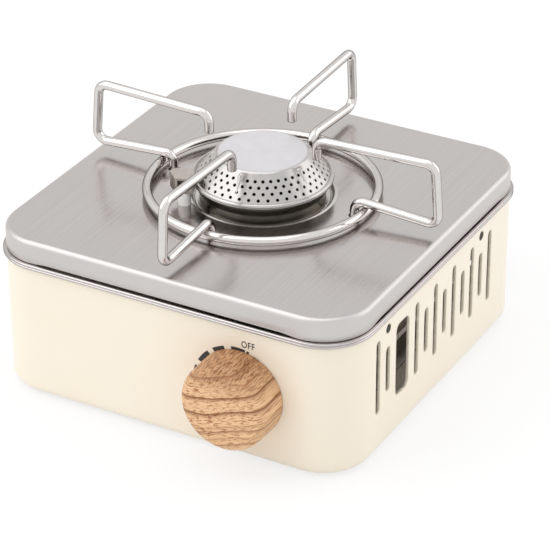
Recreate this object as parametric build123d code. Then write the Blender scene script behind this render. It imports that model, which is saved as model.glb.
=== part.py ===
from build123d import *
import math
import os

# Portable gas stove: a pressed tin box with a stainless lid, a round burner, a lift-off wire pot support
# and a gas canister bay that opens to the back.
# Sizes are in millimetres. X points to the right, Y to the back and Z up. The knob is on the front wall.
# Here the burner's axis is Z; the finished pieces are written with the origin under the overall middle.

# Box
foot_height = 1.0
foot_radius = 6.5
foot_inset = 24.0
body_width = 186.5
body_depth = 186.5
body_corner_radius = 23.4
bottom_edge_radius = 5.3
wall = 1.5

# Rolled rim on the wall's top edge
rim_reach = 1.75
rim_height = 2.5
rim_sheet = 0.8
rim_edge_radius = 1.0
rim_grip = 0.7
rim_clearance = 0.05

# Lid
lid_reach = 0.15
lid_rise = 11.4
lid_sheet = 0.8
lid_edge_radius = 2.4
lid_vent_height = 1.0
lid_vent_ramp = 4.0
lid_vent_end_gap = 2.0

# Vent slots of the side walls: rises are from the tin's underside, drops from its top edge
slot_count = 13
slot_pitch = 9.66
slot_row_y = -4.4
slot_width = 4.0
long_slot_rise = 21.5
long_slot_drop = 9.9
short_slot_rise = 28.5
short_slot_drop = 17.6
window_first = 2
window_width = 13.0
window_rise = 20.5
window_drop = 11.1
window_corner_radius = 3.6

# Spring catches that hold the lid, one behind each round hole of the side walls
catch_places = (1, 11)
catch_hole_drop = 8.2
catch_hole_radius = 2.3
catch_dimple_radius = 1.9
catch_width = 9.0
catch_sheet = 0.8
catch_foot = 7.0
catch_gap = 0.35
catch_tail = 5.0

# Gas line axis, shared by the knob, the valve, the regulator and the canister,
# offset from the middle of the room between the mixing tube and the right wall
axis_offset = -2.275
canister_radius = 32.75
canister_floor_gap = 0.25
bay_clearance = 0.45
arch_bridge = 1.7

# Knob and spindle
knob_radius = 21.5
knob_depth = 18.0
knob_wall_gap = 0.6
knob_front_radius = 4.9
knob_back_radius = 0.8
knob_screw_gap = 0.5
spindle_radius = 4.0
spindle_clearance = 0.06
spindle_flat = 1.0
spindle_wall_gap = 1.5
spindle_in_knob = 10.0
spindle_in_valve = 11.0
hub_clearance = 0.02

# Valve, bracket and regulator
bracket_sheet = 1.2
bracket_margin = 3.0
valve_width = 24.0
valve_depth = 20.0
valve_edge_radius = 2.0
valve_post_radius = 3.0
valve_post_wall = 0.9
screw_radius = 1.5
screw_head_radius = 2.6
screw_head_height = 1.4
screw_length = 16.0
screw_clearance = 0.05
regulator_depth = 14.0
regulator_radius = 20.0
regulator_waist_radius = 15.0

# Canister socket
socket_plate_radius = 29.0
socket_plate = 3.0
socket_bore_radius = 21.4
socket_wall = 3.0
socket_depth = 7.0
socket_step = 1.4
socket_recess = 5.0
socket_hub_radius = 8.0
socket_hub_gap = 0.5
socket_inlet_radius = 4.2
key_width = 7.0
key_height = 3.0
seal_inner_radius = 2.4
seal_length = 2.5
magnet_length = 5.0
seat_clearance = 0.1

# Canister bay
shield_gap = 2.8
shield_sheet = 0.8
shield_end_angle = -5.0
shield_foot = 10.0
shield_front_gap = 3.0
rail_offset = 22.5
rail_sheet = 1.0
rail_foot = 7.0
rail_canister_gap = 0.4

# Piezo igniter
cam_start_radius = 7.0
cam_throw = 4.0
knob_turn = 105.0
cam_thickness = 5.0
cam_side_gap = 0.9
cam_post_gap = 0.6
cam_plunger_gap = 0.6
plunger_radius = 2.5
plunger_clearance = 0.1
plunger_in_housing = 9.0
housing_valve_gap = 3.4
housing_length = 24.0
housing_width = 10.0
housing_height = 11.0
housing_edge_radius = 1.2
lead_radius = 1.3

# Burner, radii about Z, heights above or below the lid's top face
recess_depth = 2.2
recess_margin = 0.5
recess_slope = 1.6
seat_ring_clearance = 0.3
seat_ring_width = 3.6
seat_ring_sheet = 0.7
rivet_count = 3
rivet_start_angle = 8.0
rivet_head_radius = 0.95
rivet_head_height = 0.35
rivet_radius = 0.8
rivet_tail = 1.2
bowl_sheet = 1.0
bowl_throat_radius = 28.2
bowl_throat_clearance = 0.6
bowl_shoulder = 1.4
bowl_shoulder_height = 0.8
bowl_floor_drop = 8.0
bowl_corner_inset = 4.2
bowl_corner_drop = 4.4
bowl_flare = 4.2
bowl_lip_width = 1.2
bowl_lip_rise = 8.0
cap_sheet = 0.8
cap_disc_radius = 22.0
cap_disc_rise = 21.5
cap_disc_edge = 0.9
cap_rim_inset = 0.6
cap_rim_height = 1.9
cap_rim_roll = 1.3
cap_rim_step = 0.4
hole_rows = 4
holes_per_row = 43
hole_start_angle = 6.5
hole_radius = 0.7
hole_first_offset = 2.6
hole_last_margin = 1.25
rib_count = 5
rib_start_angle = 58.0
rib_drop = 1.6
rib_length = 9.4
rib_wide_radius = 2.1
rib_narrow_radius = 0.4
rib_sink = 1.0
inlet_margin = 0.6
inlet_bore_radius = 6.4

# Mixing tube, injector and gas pipe
tube_radius = 7.4
tube_wall = 1.0
tube_flange_radius = 9.4
tube_flange = 1.0
tube_axis_rise = 13.6
tube_bend_radius = 14.0
tube_end_plate = 1.5
air_window_width = 7.0
air_window_length = 9.0
air_window_gap = 2.0
jet_radius = 3.0
jet_clearance = 0.05
jet_nose = 8.0
jet_hex_radius = 5.2
jet_hex_length = 6.0
pipe_radius = 2.2
pipe_bend_radius = 9.0
pipe_stub = 5.0

# Spark igniter, placed from the burner axis
igniter_gap = 0.8
igniter_angle = 226.2
igniter_turn = 17.8
ceramic_radius = 3.1
ceramic_clearance = 0.15
ceramic_rise = 6.6
ceramic_drop = 15.0
collar_radius = 4.6
collar_gap = 0.1
collar_height = 3.0
neck_radius = 1.8
neck_height = 2.6
neck_clearance = 0.05
electrode_radius = 0.6
electrode_clearance = 0.03
electrode_rise = 4.4
electrode_reach = 5.0
electrode_bend_radius = 1.5
hood_sheet = 0.7
hood_height = 8.0
hood_front = -3.0
hood_front_left = -3.8
hood_front_right = 5.0
hood_flank = (-7.6, 3.7)
hood_back_left = (-5.4, 6.7)
hood_back_right = (2.8, 7.4)
hood_frame = 1.3
hood_burner_gap = 0.9

# Wire pot support
wire_radius = 2.2
ring_radius = 54.3
ring_rise = 3.45
weld_gap = 0.02
arm_count = 4
arm_inner_radius = 28.6
arm_outer_radius = 89.0
arm_splay = 2.4
arm_top_rise = 33.9
arm_top_climb = 2.0
arm_low_fall = 2.6
arm_tip_drop = 9.7
arm_foot_inset = 5.9
arm_bend_radius = 5.0
cup_clearance = 0.5
cup_depth = 1.5
cup_floor_gap = 0.1

# Levels and planes worked out from the sizes above
under_z = foot_height
floor_z = under_z + wall
arch_radius = canister_radius + bay_clearance
bowl_floor_radius = bowl_throat_radius - bowl_corner_inset
inlet_x = tube_flange_radius + inlet_margin - bowl_floor_radius
inner_half_width = body_width / 2 - wall
axis_x = (inlet_x + tube_radius + inner_half_width) / 2 + axis_offset
axis_z = floor_z + canister_floor_gap + canister_radius
tin_top_z = axis_z + arch_radius + arch_bridge
rim_top_z = tin_top_z + rim_sheet
rim_low_z = rim_top_z - rim_height
lid_top_z = rim_top_z + lid_rise
lid_under_z = lid_top_z - lid_sheet
recess_z = lid_top_z - recess_depth
seat_z = recess_z + seat_ring_sheet
front_y = -body_depth / 2
back_y = body_depth / 2
inner_front_y = front_y + wall
inner_back_y = back_y - wall
bracket_y = inner_front_y + bracket_sheet
valve_front_y = bracket_y + cam_thickness + 2 * cam_side_gap
valve_screw_offset = cam_start_radius + cam_throw + cam_post_gap + valve_post_radius
valve_height = 2 * (valve_screw_offset + valve_post_radius + valve_post_wall)
valve_back_y = valve_front_y + valve_depth
regulator_back_y = valve_back_y + regulator_depth
socket_face_y = regulator_back_y + socket_plate
socket_step_y = socket_face_y + socket_recess
socket_mouth_y = socket_step_y + socket_depth
seat_ring_inner_radius = bowl_throat_radius + seat_ring_clearance
seat_ring_outer_radius = seat_ring_inner_radius + seat_ring_width
recess_floor_radius = seat_ring_outer_radius + recess_margin
recess_top_radius = recess_floor_radius + recess_slope
bowl_lip_radius = bowl_throat_radius + bowl_flare
cap_cone_radius = bowl_lip_radius - cap_rim_inset
cap_rim_radius = bowl_lip_radius + cap_rim_roll
bowl_floor_z = seat_z - bowl_floor_drop
bowl_lip_z = lid_top_z + bowl_lip_rise
tube_axis_z = axis_z + tube_axis_rise
pipe_y = (valve_front_y + valve_back_y) / 2
jet_y = pipe_y + pipe_bend_radius + pipe_stub
tube_end_y = jet_y + jet_hex_length
igniter_radius = recess_top_radius + igniter_gap + ceramic_radius
housing_right = axis_x - valve_width / 2 - housing_valve_gap
housing_left = housing_right - housing_length
ring_z = lid_top_z + ring_rise
arm_foot_radius = ring_radius - arm_foot_inset
arm_low_radius = arm_outer_radius + arm_splay
arm_low_slope = arm_low_fall / (arm_low_radius - arm_foot_radius)
arm_ring_z = ring_z + (2 * wire_radius + weld_gap) * math.hypot(1, arm_low_slope)
arm_hook_z = arm_ring_z + arm_low_slope * (ring_radius - arm_foot_radius)
arm_low_z = arm_hook_z - arm_low_fall
arm_top_z = lid_top_z + arm_top_rise
arm_foot_z = lid_top_z - cup_depth + cup_floor_gap
centre_shift = (knob_wall_gap + knob_depth - rim_reach) / 2


def block(width, depth, radius, low, high):
    """Upright block with rounded corners, centred on the origin in plan."""
    plan = Pos(0, 0, low) * RectangleRounded(width, depth, radius)
    return extrude(plan, amount=high - low)


def cylinder_z(radius, low, high, x=0.0, y=0.0):
    """Upright cylinder between two heights."""
    return Pos(x, y, (low + high) / 2) * Cylinder(radius, high - low)


def gas_plane(y):
    """Plane across the gas line axis at depth y, facing the front, with its own x to the right and y up."""
    return Plane(origin=(axis_x, y, axis_z), x_dir=(1, 0, 0), z_dir=(0, -1, 0))


def gas_cylinder(radius, front, back):
    """Cylinder on the gas line axis from depth front to depth back."""
    return extrude(gas_plane(back) * Circle(radius), amount=back - front)


def turned(points):
    """Solid of revolution about Z of a closed outline of (radius, height) points."""
    return revolve(Plane.XZ * make_face(Polyline(*points, close=True)), Axis.Z)


def wire(path, radius):
    """Round rod swept along a path of straight runs and tangent arcs."""
    return sweep(Plane(path @ 0, z_dir=path % 0) * Circle(radius), path=path)


def around(count, start, piece):
    """Copies of a piece turned about Z at even steps from a start angle."""
    return [Rot(0, 0, start + 360 * number / count) * piece for number in range(count)]


def slot_y(place):
    """Depth of one place in the row of vent slots."""
    return slot_row_y + (place - (slot_count - 1) / 2) * slot_pitch


def side_cut(outline, y, z, side):
    """Cutter through one side wall, from an outline drawn with x along the wall and y up."""
    plane = Plane(origin=(side * body_width / 2, y, z), x_dir=(0, 1, 0), z_dir=(1, 0, 0))
    return extrude(plane * outline, amount=3 * wall, both=True)


def slot_cut(place, side):
    """Cutter for one vent slot: long at even places, short at odd ones."""
    is_long = place % 2 == 0
    low = under_z + (long_slot_rise if is_long else short_slot_rise)
    high = tin_top_z - (long_slot_drop if is_long else short_slot_drop)
    outline = SlotOverall(high - low, slot_width, rotation=90)
    return side_cut(outline, slot_y(place), (low + high) / 2, side)


def make_tin_body():
    """Open-topped tin with vent slots in both sides, a window on the right and an arch at the back."""
    outer = block(body_width, body_depth, body_corner_radius, under_z, tin_top_z)
    outer = fillet(outer.edges().group_by(Axis.Z)[0], bottom_edge_radius)
    inner_radius = body_corner_radius - wall
    inner = block(body_width - 2 * wall, body_depth - 2 * wall, inner_radius, floor_z, tin_top_z + wall)
    inner = fillet(inner.edges().group_by(Axis.Z)[0], bottom_edge_radius - wall)
    tin = outer - inner
    window_places = (window_first, window_first + 1)
    cuts = [slot_cut(place, 1) for place in range(slot_count) if place not in window_places]
    cuts += [slot_cut(place, -1) for place in range(slot_count)]
    window_y = (slot_y(window_places[0]) + slot_y(window_places[1])) / 2
    window_low = under_z + window_rise
    window_high = tin_top_z - window_drop
    window_outline = RectangleRounded(window_width, window_high - window_low, window_corner_radius)
    cuts.append(side_cut(window_outline, window_y, (window_low + window_high) / 2, 1))
    for side in (1, -1):
        for place in catch_places:
            hole_z = tin_top_z - catch_hole_drop
            cuts.append(side_cut(Circle(catch_hole_radius), slot_y(place), hole_z, side))
    cuts.append(gas_cylinder(spindle_radius + spindle_wall_gap, front_y - wall, bracket_y))
    for screw_z in (-valve_screw_offset, valve_screw_offset):
        hole = gas_cylinder(screw_radius + screw_clearance, front_y - wall, bracket_y)
        cuts.append(Pos(0, 0, screw_z) * hole)
    arch = gas_cylinder(arch_radius, inner_back_y - wall, back_y + wall)
    above_floor = block(2 * body_width, 2 * body_depth, body_corner_radius, floor_z, tin_top_z)
    cuts.append(arch & above_floor)
    return tin - cuts


def make_rim_band():
    """Rolled rim: a rounded bead outside the wall, a web over its top edge and a short grip inside."""
    reach = 2 * rim_reach
    outer_radius = body_corner_radius + rim_reach
    band = block(body_width + reach, body_depth + reach, outer_radius, rim_low_z, rim_top_z)
    band = fillet(band.edges().group_by(Axis.Z)[0] + band.edges().group_by(Axis.Z)[-1], rim_edge_radius)
    inset = 2 * (wall + 2 * rim_clearance + rim_grip)
    grip_radius = body_corner_radius - inset / 2
    hole = block(body_width - inset, body_depth - inset, grip_radius, rim_low_z - 1, rim_top_z + 1)
    out = 2 * rim_clearance
    wall_radius = body_corner_radius + rim_clearance
    outside = block(body_width + out, body_depth + out, wall_radius, rim_low_z, tin_top_z)
    back = 2 * (wall + rim_clearance)
    inside = block(body_width - back, body_depth - back, body_corner_radius - back / 2, rim_low_z, tin_top_z)
    return band - hole - (outside - inside)


def foot_places():
    """Angles of the pot support's four feet, one for each arm."""
    return [360 * number / arm_count for number in range(arm_count)]


def make_lid():
    """Drawn top plate: skirt open along each straight side, burner recess, foot cups and igniter hole."""
    width = body_width + 2 * lid_reach
    depth = body_depth + 2 * lid_reach
    radius = body_corner_radius + lid_reach
    outer = block(width, depth, radius, rim_top_z, lid_top_z)
    outer = fillet(outer.edges().group_by(Axis.Z)[-1], lid_edge_radius)
    thin = 2 * lid_sheet
    inner = block(width - thin, depth - thin, radius - lid_sheet, rim_top_z - 1, lid_under_z)
    inner = fillet(inner.edges().group_by(Axis.Z)[-1], lid_edge_radius - lid_sheet)
    recess_foot = (recess_floor_radius, recess_z)
    recess_brim = (recess_top_radius, lid_top_z)
    recess = turned([(0, recess_z), recess_foot, recess_brim, (0, lid_top_z)])
    dish_low = recess_z - lid_sheet
    dish_foot = recess_floor_radius + lid_sheet
    dish_top = recess_top_radius + lid_sheet
    dish = turned([(0, dish_low), (dish_foot, dish_low), (dish_top, lid_under_z), (0, lid_under_z)])
    cup_radius = wire_radius + cup_clearance
    cup_floor_z = lid_top_z - cup_depth
    cup = cylinder_z(cup_radius, cup_floor_z, lid_top_z, x=arm_foot_radius)
    cup_wall = cylinder_z(cup_radius + lid_sheet, cup_floor_z - lid_sheet, lid_under_z, x=arm_foot_radius)
    cavity = inner - dish - [Rot(0, 0, angle) * cup_wall for angle in foot_places()]
    plate = outer - recess - [Rot(0, 0, angle) * cup for angle in foot_places()]
    plate = plate - cavity
    opening = cylinder_z(bowl_throat_radius + bowl_throat_clearance, dish_low - 1, lid_top_z)
    x, y = igniter_place()
    igniter_hole = cylinder_z(ceramic_radius + ceramic_clearance, lid_under_z - 1, lid_top_z + 1, x=x, y=y)
    rivet_hole = cylinder_z(rivet_radius, dish_low - 1, lid_top_z, x=rivet_circle())
    cuts = [opening, igniter_hole] + around(rivet_count, rivet_start_angle, rivet_hole)
    half_run = body_width / 2 - body_corner_radius - lid_vent_end_gap
    vent_top = rim_top_z + lid_vent_height
    vent_outline = [
        (-half_run, rim_top_z - 1),
        (-half_run, rim_top_z),
        (lid_vent_ramp - half_run, vent_top),
        (half_run - lid_vent_ramp, vent_top),
        (half_run, rim_top_z),
        (half_run, rim_top_z - 1),
    ]
    vent_face = Plane.XZ * make_face(Polyline(*vent_outline, close=True))
    vent = extrude(vent_face, amount=body_depth, both=True)
    cuts += [vent, Rot(0, 0, 90) * vent]
    return plate - cuts


def catch_leg_x():
    """Outer face of a catch's leg: a gap inside the rolled rim's grip."""
    return inner_half_width - 2 * rim_clearance - rim_grip - catch_gap


def make_lid_catches():
    """Four L-shaped spring strips under the lid, each with a dimple in a hole of the side wall."""
    leg_x = catch_leg_x()
    hole_z = tin_top_z - catch_hole_drop
    tail_z = hole_z - catch_tail
    leg = Pos(leg_x - catch_sheet / 2, 0, (tail_z + lid_under_z) / 2)
    strip = leg * Box(catch_sheet, catch_width, lid_under_z - tail_z)
    foot = Pos(leg_x - catch_foot / 2, 0, lid_under_z - catch_sheet / 2)
    strip += foot * Box(catch_foot, catch_width, catch_sheet)
    dimple_length = body_width / 2 - leg_x
    dimple = Pos(leg_x + dimple_length / 2, 0, hole_z) * Rot(0, 90, 0)
    strip += dimple * Cylinder(catch_dimple_radius, dimple_length)
    catches = []
    for place in catch_places:
        catches.append(Pos(0, slot_y(place), 0) * strip)
        catches.append(Pos(0, slot_y(place), 0) * Rot(0, 0, 180) * strip)
    return Compound(catches)


def make_rubber_feet():
    """Four round pads under the tin."""
    pads = []
    for side_x in (-1, 1):
        for side_y in (-1, 1):
            x = side_x * (body_width / 2 - foot_inset)
            y = side_y * (body_depth / 2 - foot_inset)
            pads.append(cylinder_z(foot_radius, 0, under_z, x=x, y=y))
    return Compound(pads)


def rivet_circle():
    """Radius on which the rivets lie, midway between the bowl's shoulder and the seat ring's edge."""
    return (bowl_throat_radius + bowl_shoulder + seat_ring_outer_radius) / 2


def make_burner_seat_ring():
    """Flat ring on the recess floor that carries the bowl's shoulder."""
    ring = cylinder_z(seat_ring_outer_radius, recess_z, seat_z)
    ring -= cylinder_z(seat_ring_inner_radius, recess_z - 1, seat_z + 1)
    hole = cylinder_z(rivet_radius, recess_z - 1, seat_z + 1, x=rivet_circle())
    return ring - around(rivet_count, rivet_start_angle, hole)


def make_burner_rivets():
    """Rivets through the seat ring and the lid."""
    low = recess_z - lid_sheet - rivet_tail
    rivet = cylinder_z(rivet_radius, low, seat_z, x=rivet_circle())
    rivet += cylinder_z(rivet_head_radius, seat_z, seat_z + rivet_head_height, x=rivet_circle())
    return Compound(around(rivet_count, rivet_start_angle, rivet))


def make_burner_bowl():
    """Drawn cup that stands on the seat ring by a shoulder and flares up to a flat lip."""
    shoulder_radius = bowl_throat_radius + bowl_shoulder
    shoulder_z = seat_z + bowl_shoulder_height
    neck_radius_up = bowl_throat_radius + bowl_sheet / 2
    outside = [
        (0, bowl_floor_z),
        (bowl_floor_radius, bowl_floor_z),
        (bowl_throat_radius, bowl_floor_z + bowl_corner_drop),
        (bowl_throat_radius, seat_z),
        (shoulder_radius, seat_z),
        (shoulder_radius, shoulder_z),
        (neck_radius_up, shoulder_z),
        (bowl_lip_radius, bowl_lip_z),
    ]
    inside = [
        (bowl_lip_radius - bowl_lip_width, bowl_lip_z),
        (neck_radius_up - bowl_sheet, shoulder_z),
        (bowl_throat_radius - bowl_sheet, seat_z),
        (bowl_throat_radius - bowl_sheet, bowl_floor_z + bowl_corner_drop + bowl_sheet / 2),
        (bowl_floor_radius - bowl_sheet / 2, bowl_floor_z + bowl_sheet),
        (0, bowl_floor_z + bowl_sheet),
    ]
    bowl = turned(outside + inside)
    return bowl - cylinder_z(inlet_bore_radius, bowl_floor_z - 1, bowl_floor_z + 2 * bowl_sheet, x=inlet_x)


def cone_point(radius):
    """Height of the cap's cone at a radius."""
    top = lid_top_z + cap_disc_rise - cap_disc_edge / 2
    foot = bowl_lip_z + cap_rim_height
    share = (radius - cap_disc_radius) / (cap_cone_radius - cap_disc_radius)
    return top + share * (foot - top)


def cap_section(half_width, z):
    """Many-sided section of the cap, with one side for each column of holes."""
    sides = 2 * holes_per_row
    return Pos(0, 0, z) * RegularPolygon(half_width, sides, major_radius=False, rotation=180 / sides)


def make_burner_cap():
    """Perforated cone under a plain disc, with teardrop ribs and a rim rolled over the bowl's lip."""
    disc_z = lid_top_z + cap_disc_rise
    edge_z = cone_point(cap_disc_radius)
    foot_z = cone_point(cap_cone_radius)
    outer_sections = [
        cap_section(cap_disc_radius - cap_disc_edge, disc_z),
        cap_section(cap_disc_radius, edge_z),
        cap_section(cap_cone_radius, foot_z),
    ]
    shell = loft(outer_sections, ruled=True)
    slope = Vector(cap_cone_radius - cap_disc_radius, 0, foot_z - edge_z).normalized()
    normal = Vector(-slope.Z, 0, slope.X)
    rib_top = Vector(cap_disc_radius, 0, edge_z) + slope * rib_drop - normal * rib_sink
    rib_plane = Plane(origin=rib_top, z_dir=slope, x_dir=normal)
    rib = rib_plane * Pos(0, 0, rib_length / 2) * Cone(rib_wide_radius, rib_narrow_radius, rib_length)
    rib = rib & cylinder_z(cap_rim_radius, foot_z, disc_z)
    shell += around(rib_count, rib_start_angle, rib)
    inner_disc_radius = cap_disc_radius - cap_sheet / 2
    inner_foot_radius = cap_cone_radius - cap_sheet
    inner_sections = [
        cap_section(inner_disc_radius, disc_z - cap_sheet),
        cap_section(inner_foot_radius, foot_z),
    ]
    shell -= loft(inner_sections, ruled=True)
    first_radius = cap_disc_radius + hole_first_offset
    last_radius = cap_cone_radius - hole_last_margin
    holes = []
    for row in range(hole_rows):
        radius = first_radius + (last_radius - first_radius) * row / (hole_rows - 1)
        plane = Plane(origin=(radius, 0, cone_point(radius)), z_dir=normal, x_dir=slope)
        hole = extrude(plane * RegularPolygon(hole_radius, 6), amount=2 * cap_sheet, both=True)
        row_angle = hole_start_angle + 180 * (row % 2) / holes_per_row
        holes += around(holes_per_row, row_angle, hole)
    shell -= holes
    rim_inner_radius = inner_foot_radius - cap_rim_step
    rim_top_z = foot_z + cap_rim_step
    rim_line = ThreePointArc(
        (bowl_lip_radius, bowl_lip_z),
        (cap_rim_radius, (foot_z + bowl_lip_z) / 2),
        (cap_cone_radius + cap_rim_step / 2, rim_top_z),
    )
    inside_line = Polyline(
        rim_line @ 1,
        (rim_inner_radius, rim_top_z),
        (rim_inner_radius, bowl_lip_z),
        rim_line @ 0,
    )
    return shell + revolve(Plane.XZ * make_face([rim_line, inside_line]), Axis.Z)


def make_mixing_tube():
    """Bent tube from the bowl's inlet to the injector, with a flange, air windows and an end plate."""
    top_z = bowl_floor_z - tube_flange
    low_z = tube_axis_z
    end_y = tube_end_y
    path = FilletPolyline(
        (inlet_x, 0, top_z),
        (inlet_x, 0, low_z),
        (inlet_x, end_y, low_z),
        radius=tube_bend_radius,
    )
    tube = wire(path, tube_radius) - wire(path, tube_radius - tube_wall)
    flange = cylinder_z(tube_flange_radius, top_z, bowl_floor_z, x=inlet_x)
    flange -= cylinder_z(tube_radius - tube_wall, top_z - 1, bowl_floor_z + 1, x=inlet_x)
    tube += flange
    plate_middle = Pos(inlet_x, end_y + tube_end_plate / 2, low_z) * Rot(90, 0, 0)
    tube += plate_middle * Cylinder(tube_radius, tube_end_plate)
    tube -= plate_middle * Cylinder(jet_radius + jet_clearance, 3 * tube_end_plate)
    window_y = end_y + tube_end_plate + air_window_gap + air_window_length / 2
    window = Pos(inlet_x, window_y, low_z)
    tube -= window * Box(4 * tube_radius, air_window_length, air_window_width)
    return tube


def make_injector():
    """Brass jet: a round nose in the tube's end plate and a hexagon outside it."""
    plane = Plane(origin=(inlet_x, tube_end_y, tube_axis_z), x_dir=(1, 0, 0), z_dir=(0, -1, 0))
    jet = extrude(plane * RegularPolygon(jet_hex_radius, 6), amount=jet_hex_length)
    jet += extrude(plane * Circle(jet_radius), amount=-jet_nose)
    return jet


def make_gas_pipe():
    """Bent pipe from the valve's left face to the injector."""
    path = FilletPolyline(
        (axis_x - valve_width / 2, pipe_y, tube_axis_z),
        (inlet_x, pipe_y, tube_axis_z),
        (inlet_x, jet_y, tube_axis_z),
        radius=pipe_bend_radius,
    )
    return wire(path, pipe_radius)


def make_valve_bracket():
    """Steel plate behind the front wall that carries the valve and the piezo housing."""
    left = housing_left - bracket_margin
    right = axis_x + valve_width / 2 + bracket_margin
    plane = Plane(origin=((left + right) / 2, bracket_y, axis_z), x_dir=(1, 0, 0), z_dir=(0, -1, 0))
    height = valve_height + bracket_margin
    plate = extrude(plane * RectangleRounded(right - left, height, valve_edge_radius), amount=bracket_sheet)
    plate -= gas_cylinder(spindle_radius + spindle_wall_gap, inner_front_y - 1, bracket_y + 1)
    hole = gas_cylinder(screw_radius + screw_clearance, inner_front_y - 1, bracket_y + 1)
    return plate - [Pos(0, 0, valve_screw_offset) * hole, Pos(0, 0, -valve_screw_offset) * hole]


def make_valve_body():
    """Cast block with two posts to the bracket, the spindle's bore and the screws' holes."""
    plane = gas_plane(valve_back_y)
    face = plane * RectangleRounded(valve_width, valve_height, valve_edge_radius)
    body = extrude(face, amount=valve_depth)
    post = gas_cylinder(valve_post_radius, bracket_y, valve_front_y)
    hole_end = front_y + screw_length + screw_clearance
    hole = gas_cylinder(screw_radius + screw_clearance, bracket_y - 1, hole_end)
    for offset in (-valve_screw_offset, valve_screw_offset):
        body += Pos(0, 0, offset) * post
    for offset in (-valve_screw_offset, valve_screw_offset):
        body -= Pos(0, 0, offset) * hole
    bore_end = valve_front_y + spindle_in_valve + spindle_clearance
    return body - gas_cylinder(spindle_radius + spindle_clearance, valve_front_y - 1, bore_end)


def make_valve_screws():
    """Two screws through the front wall and bracket into the valve's posts, hidden by the knob."""
    screw = gas_cylinder(screw_radius, front_y, front_y + screw_length)
    screw += gas_cylinder(screw_head_radius, front_y - screw_head_height, front_y)
    return Compound([Pos(0, 0, offset) * screw for offset in (-valve_screw_offset, valve_screw_offset)])


def make_regulator():
    """Round pressure regulator between the valve and the canister socket, waisted in the middle."""
    flange = regulator_depth / 4
    regulator = gas_cylinder(regulator_radius, valve_back_y, valve_back_y + flange)
    regulator += gas_cylinder(regulator_waist_radius, valve_back_y, regulator_back_y)
    return regulator + gas_cylinder(regulator_radius, regulator_back_y - flange, regulator_back_y)


def make_canister_socket():
    """Plate with a stepped round wall for the canister's collar, a key for its notch and an inlet hub."""
    outer_radius = socket_bore_radius + socket_wall
    recess_radius = socket_bore_radius - socket_step
    socket = gas_cylinder(socket_plate_radius, regulator_back_y, socket_face_y)
    socket += gas_cylinder(outer_radius, socket_face_y, socket_mouth_y)
    socket -= gas_cylinder(socket_bore_radius, socket_step_y, socket_mouth_y)
    socket -= gas_cylinder(recess_radius, socket_face_y, socket_step_y)
    hub_end = socket_step_y - socket_hub_gap
    socket += gas_cylinder(socket_hub_radius, socket_face_y, hub_end)
    key_z = axis_z + recess_radius - key_height / 2
    key = Pos(axis_x, (socket_face_y + hub_end) / 2, key_z)
    key = key * Box(key_width, hub_end - socket_face_y, key_height + 2 * socket_step)
    socket += key & gas_cylinder(outer_radius, socket_face_y, hub_end)
    return socket - gas_cylinder(socket_inlet_radius, regulator_back_y, socket_mouth_y)


def make_inlet_seal():
    """Rubber washer in the inlet hub, against the regulator."""
    seal_end = regulator_back_y + seal_length
    seal = gas_cylinder(socket_inlet_radius - seat_clearance, regulator_back_y, seal_end)
    return seal - gas_cylinder(seal_inner_radius, regulator_back_y - 1, socket_face_y + 1)


def make_socket_magnet():
    """Ring magnet round the socket's wall, on its plate, that holds the canister in place."""
    ring = gas_cylinder(socket_plate_radius, socket_face_y, socket_face_y + magnet_length)
    bore = socket_bore_radius + socket_wall + seat_clearance
    return ring - gas_cylinder(bore, socket_face_y - 1, socket_mouth_y + 1)


def make_heat_shield():
    """Bent sheet that arches over the canister and stands on the floor beside it."""
    radius = arch_radius + shield_gap
    end = math.radians(shield_end_angle)
    front = socket_mouth_y + shield_front_gap
    depth = inner_back_y - bottom_edge_radius - front
    outer = radius + shield_sheet
    leg_height = axis_z - floor_z
    over = 3 * outer
    below = [(0, 0), (over * math.cos(end), over * math.sin(end)), (over, -over), (-over, -over), (-over, 0)]
    face = Circle(outer) - Circle(radius) - make_face(Polyline(*below, close=True))
    leg = Pos(-radius - shield_sheet / 2, -leg_height / 2) * Rectangle(shield_sheet, leg_height)
    foot = Pos(-radius - shield_foot / 2, shield_sheet / 2 - leg_height)
    foot = foot * Rectangle(shield_foot, shield_sheet)
    face += [leg, foot]
    return extrude(gas_plane(front + depth) * face, amount=depth)


def make_canister_rails():
    """Two angle strips on the floor that cradle the canister."""
    top_z = axis_z - math.sqrt(canister_radius**2 - rail_offset**2) - rail_canister_gap
    front = socket_mouth_y + shield_front_gap
    depth = inner_back_y - bottom_edge_radius - front
    rails = []
    for side in (-1, 1):
        upright_x = axis_x + side * (rail_offset + rail_sheet / 2)
        upright = Pos(upright_x, front + depth / 2, (floor_z + top_z) / 2)
        rail = upright * Box(rail_sheet, depth, top_z - floor_z)
        foot_x = axis_x + side * (rail_offset + rail_foot / 2)
        foot = Pos(foot_x, front + depth / 2, floor_z + rail_sheet / 2)
        rail += foot * Box(rail_foot, depth, rail_sheet)
        rails.append(rail)
    return Compound(rails)


def knob_back_y():
    """Depth of the knob's back face."""
    return front_y - knob_wall_gap


def make_valve_spindle():
    """Brass spindle from the valve to the knob, with a flat at its knob end."""
    knob_end = knob_back_y() - spindle_in_knob
    spindle = gas_cylinder(spindle_radius, knob_end, valve_front_y + spindle_in_valve)
    flat = gas_plane(knob_back_y()) * Pos(0, spindle_radius - spindle_flat / 2, spindle_in_knob / 2)
    return spindle - flat * Box(2 * spindle_radius, spindle_flat, spindle_in_knob)


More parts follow.
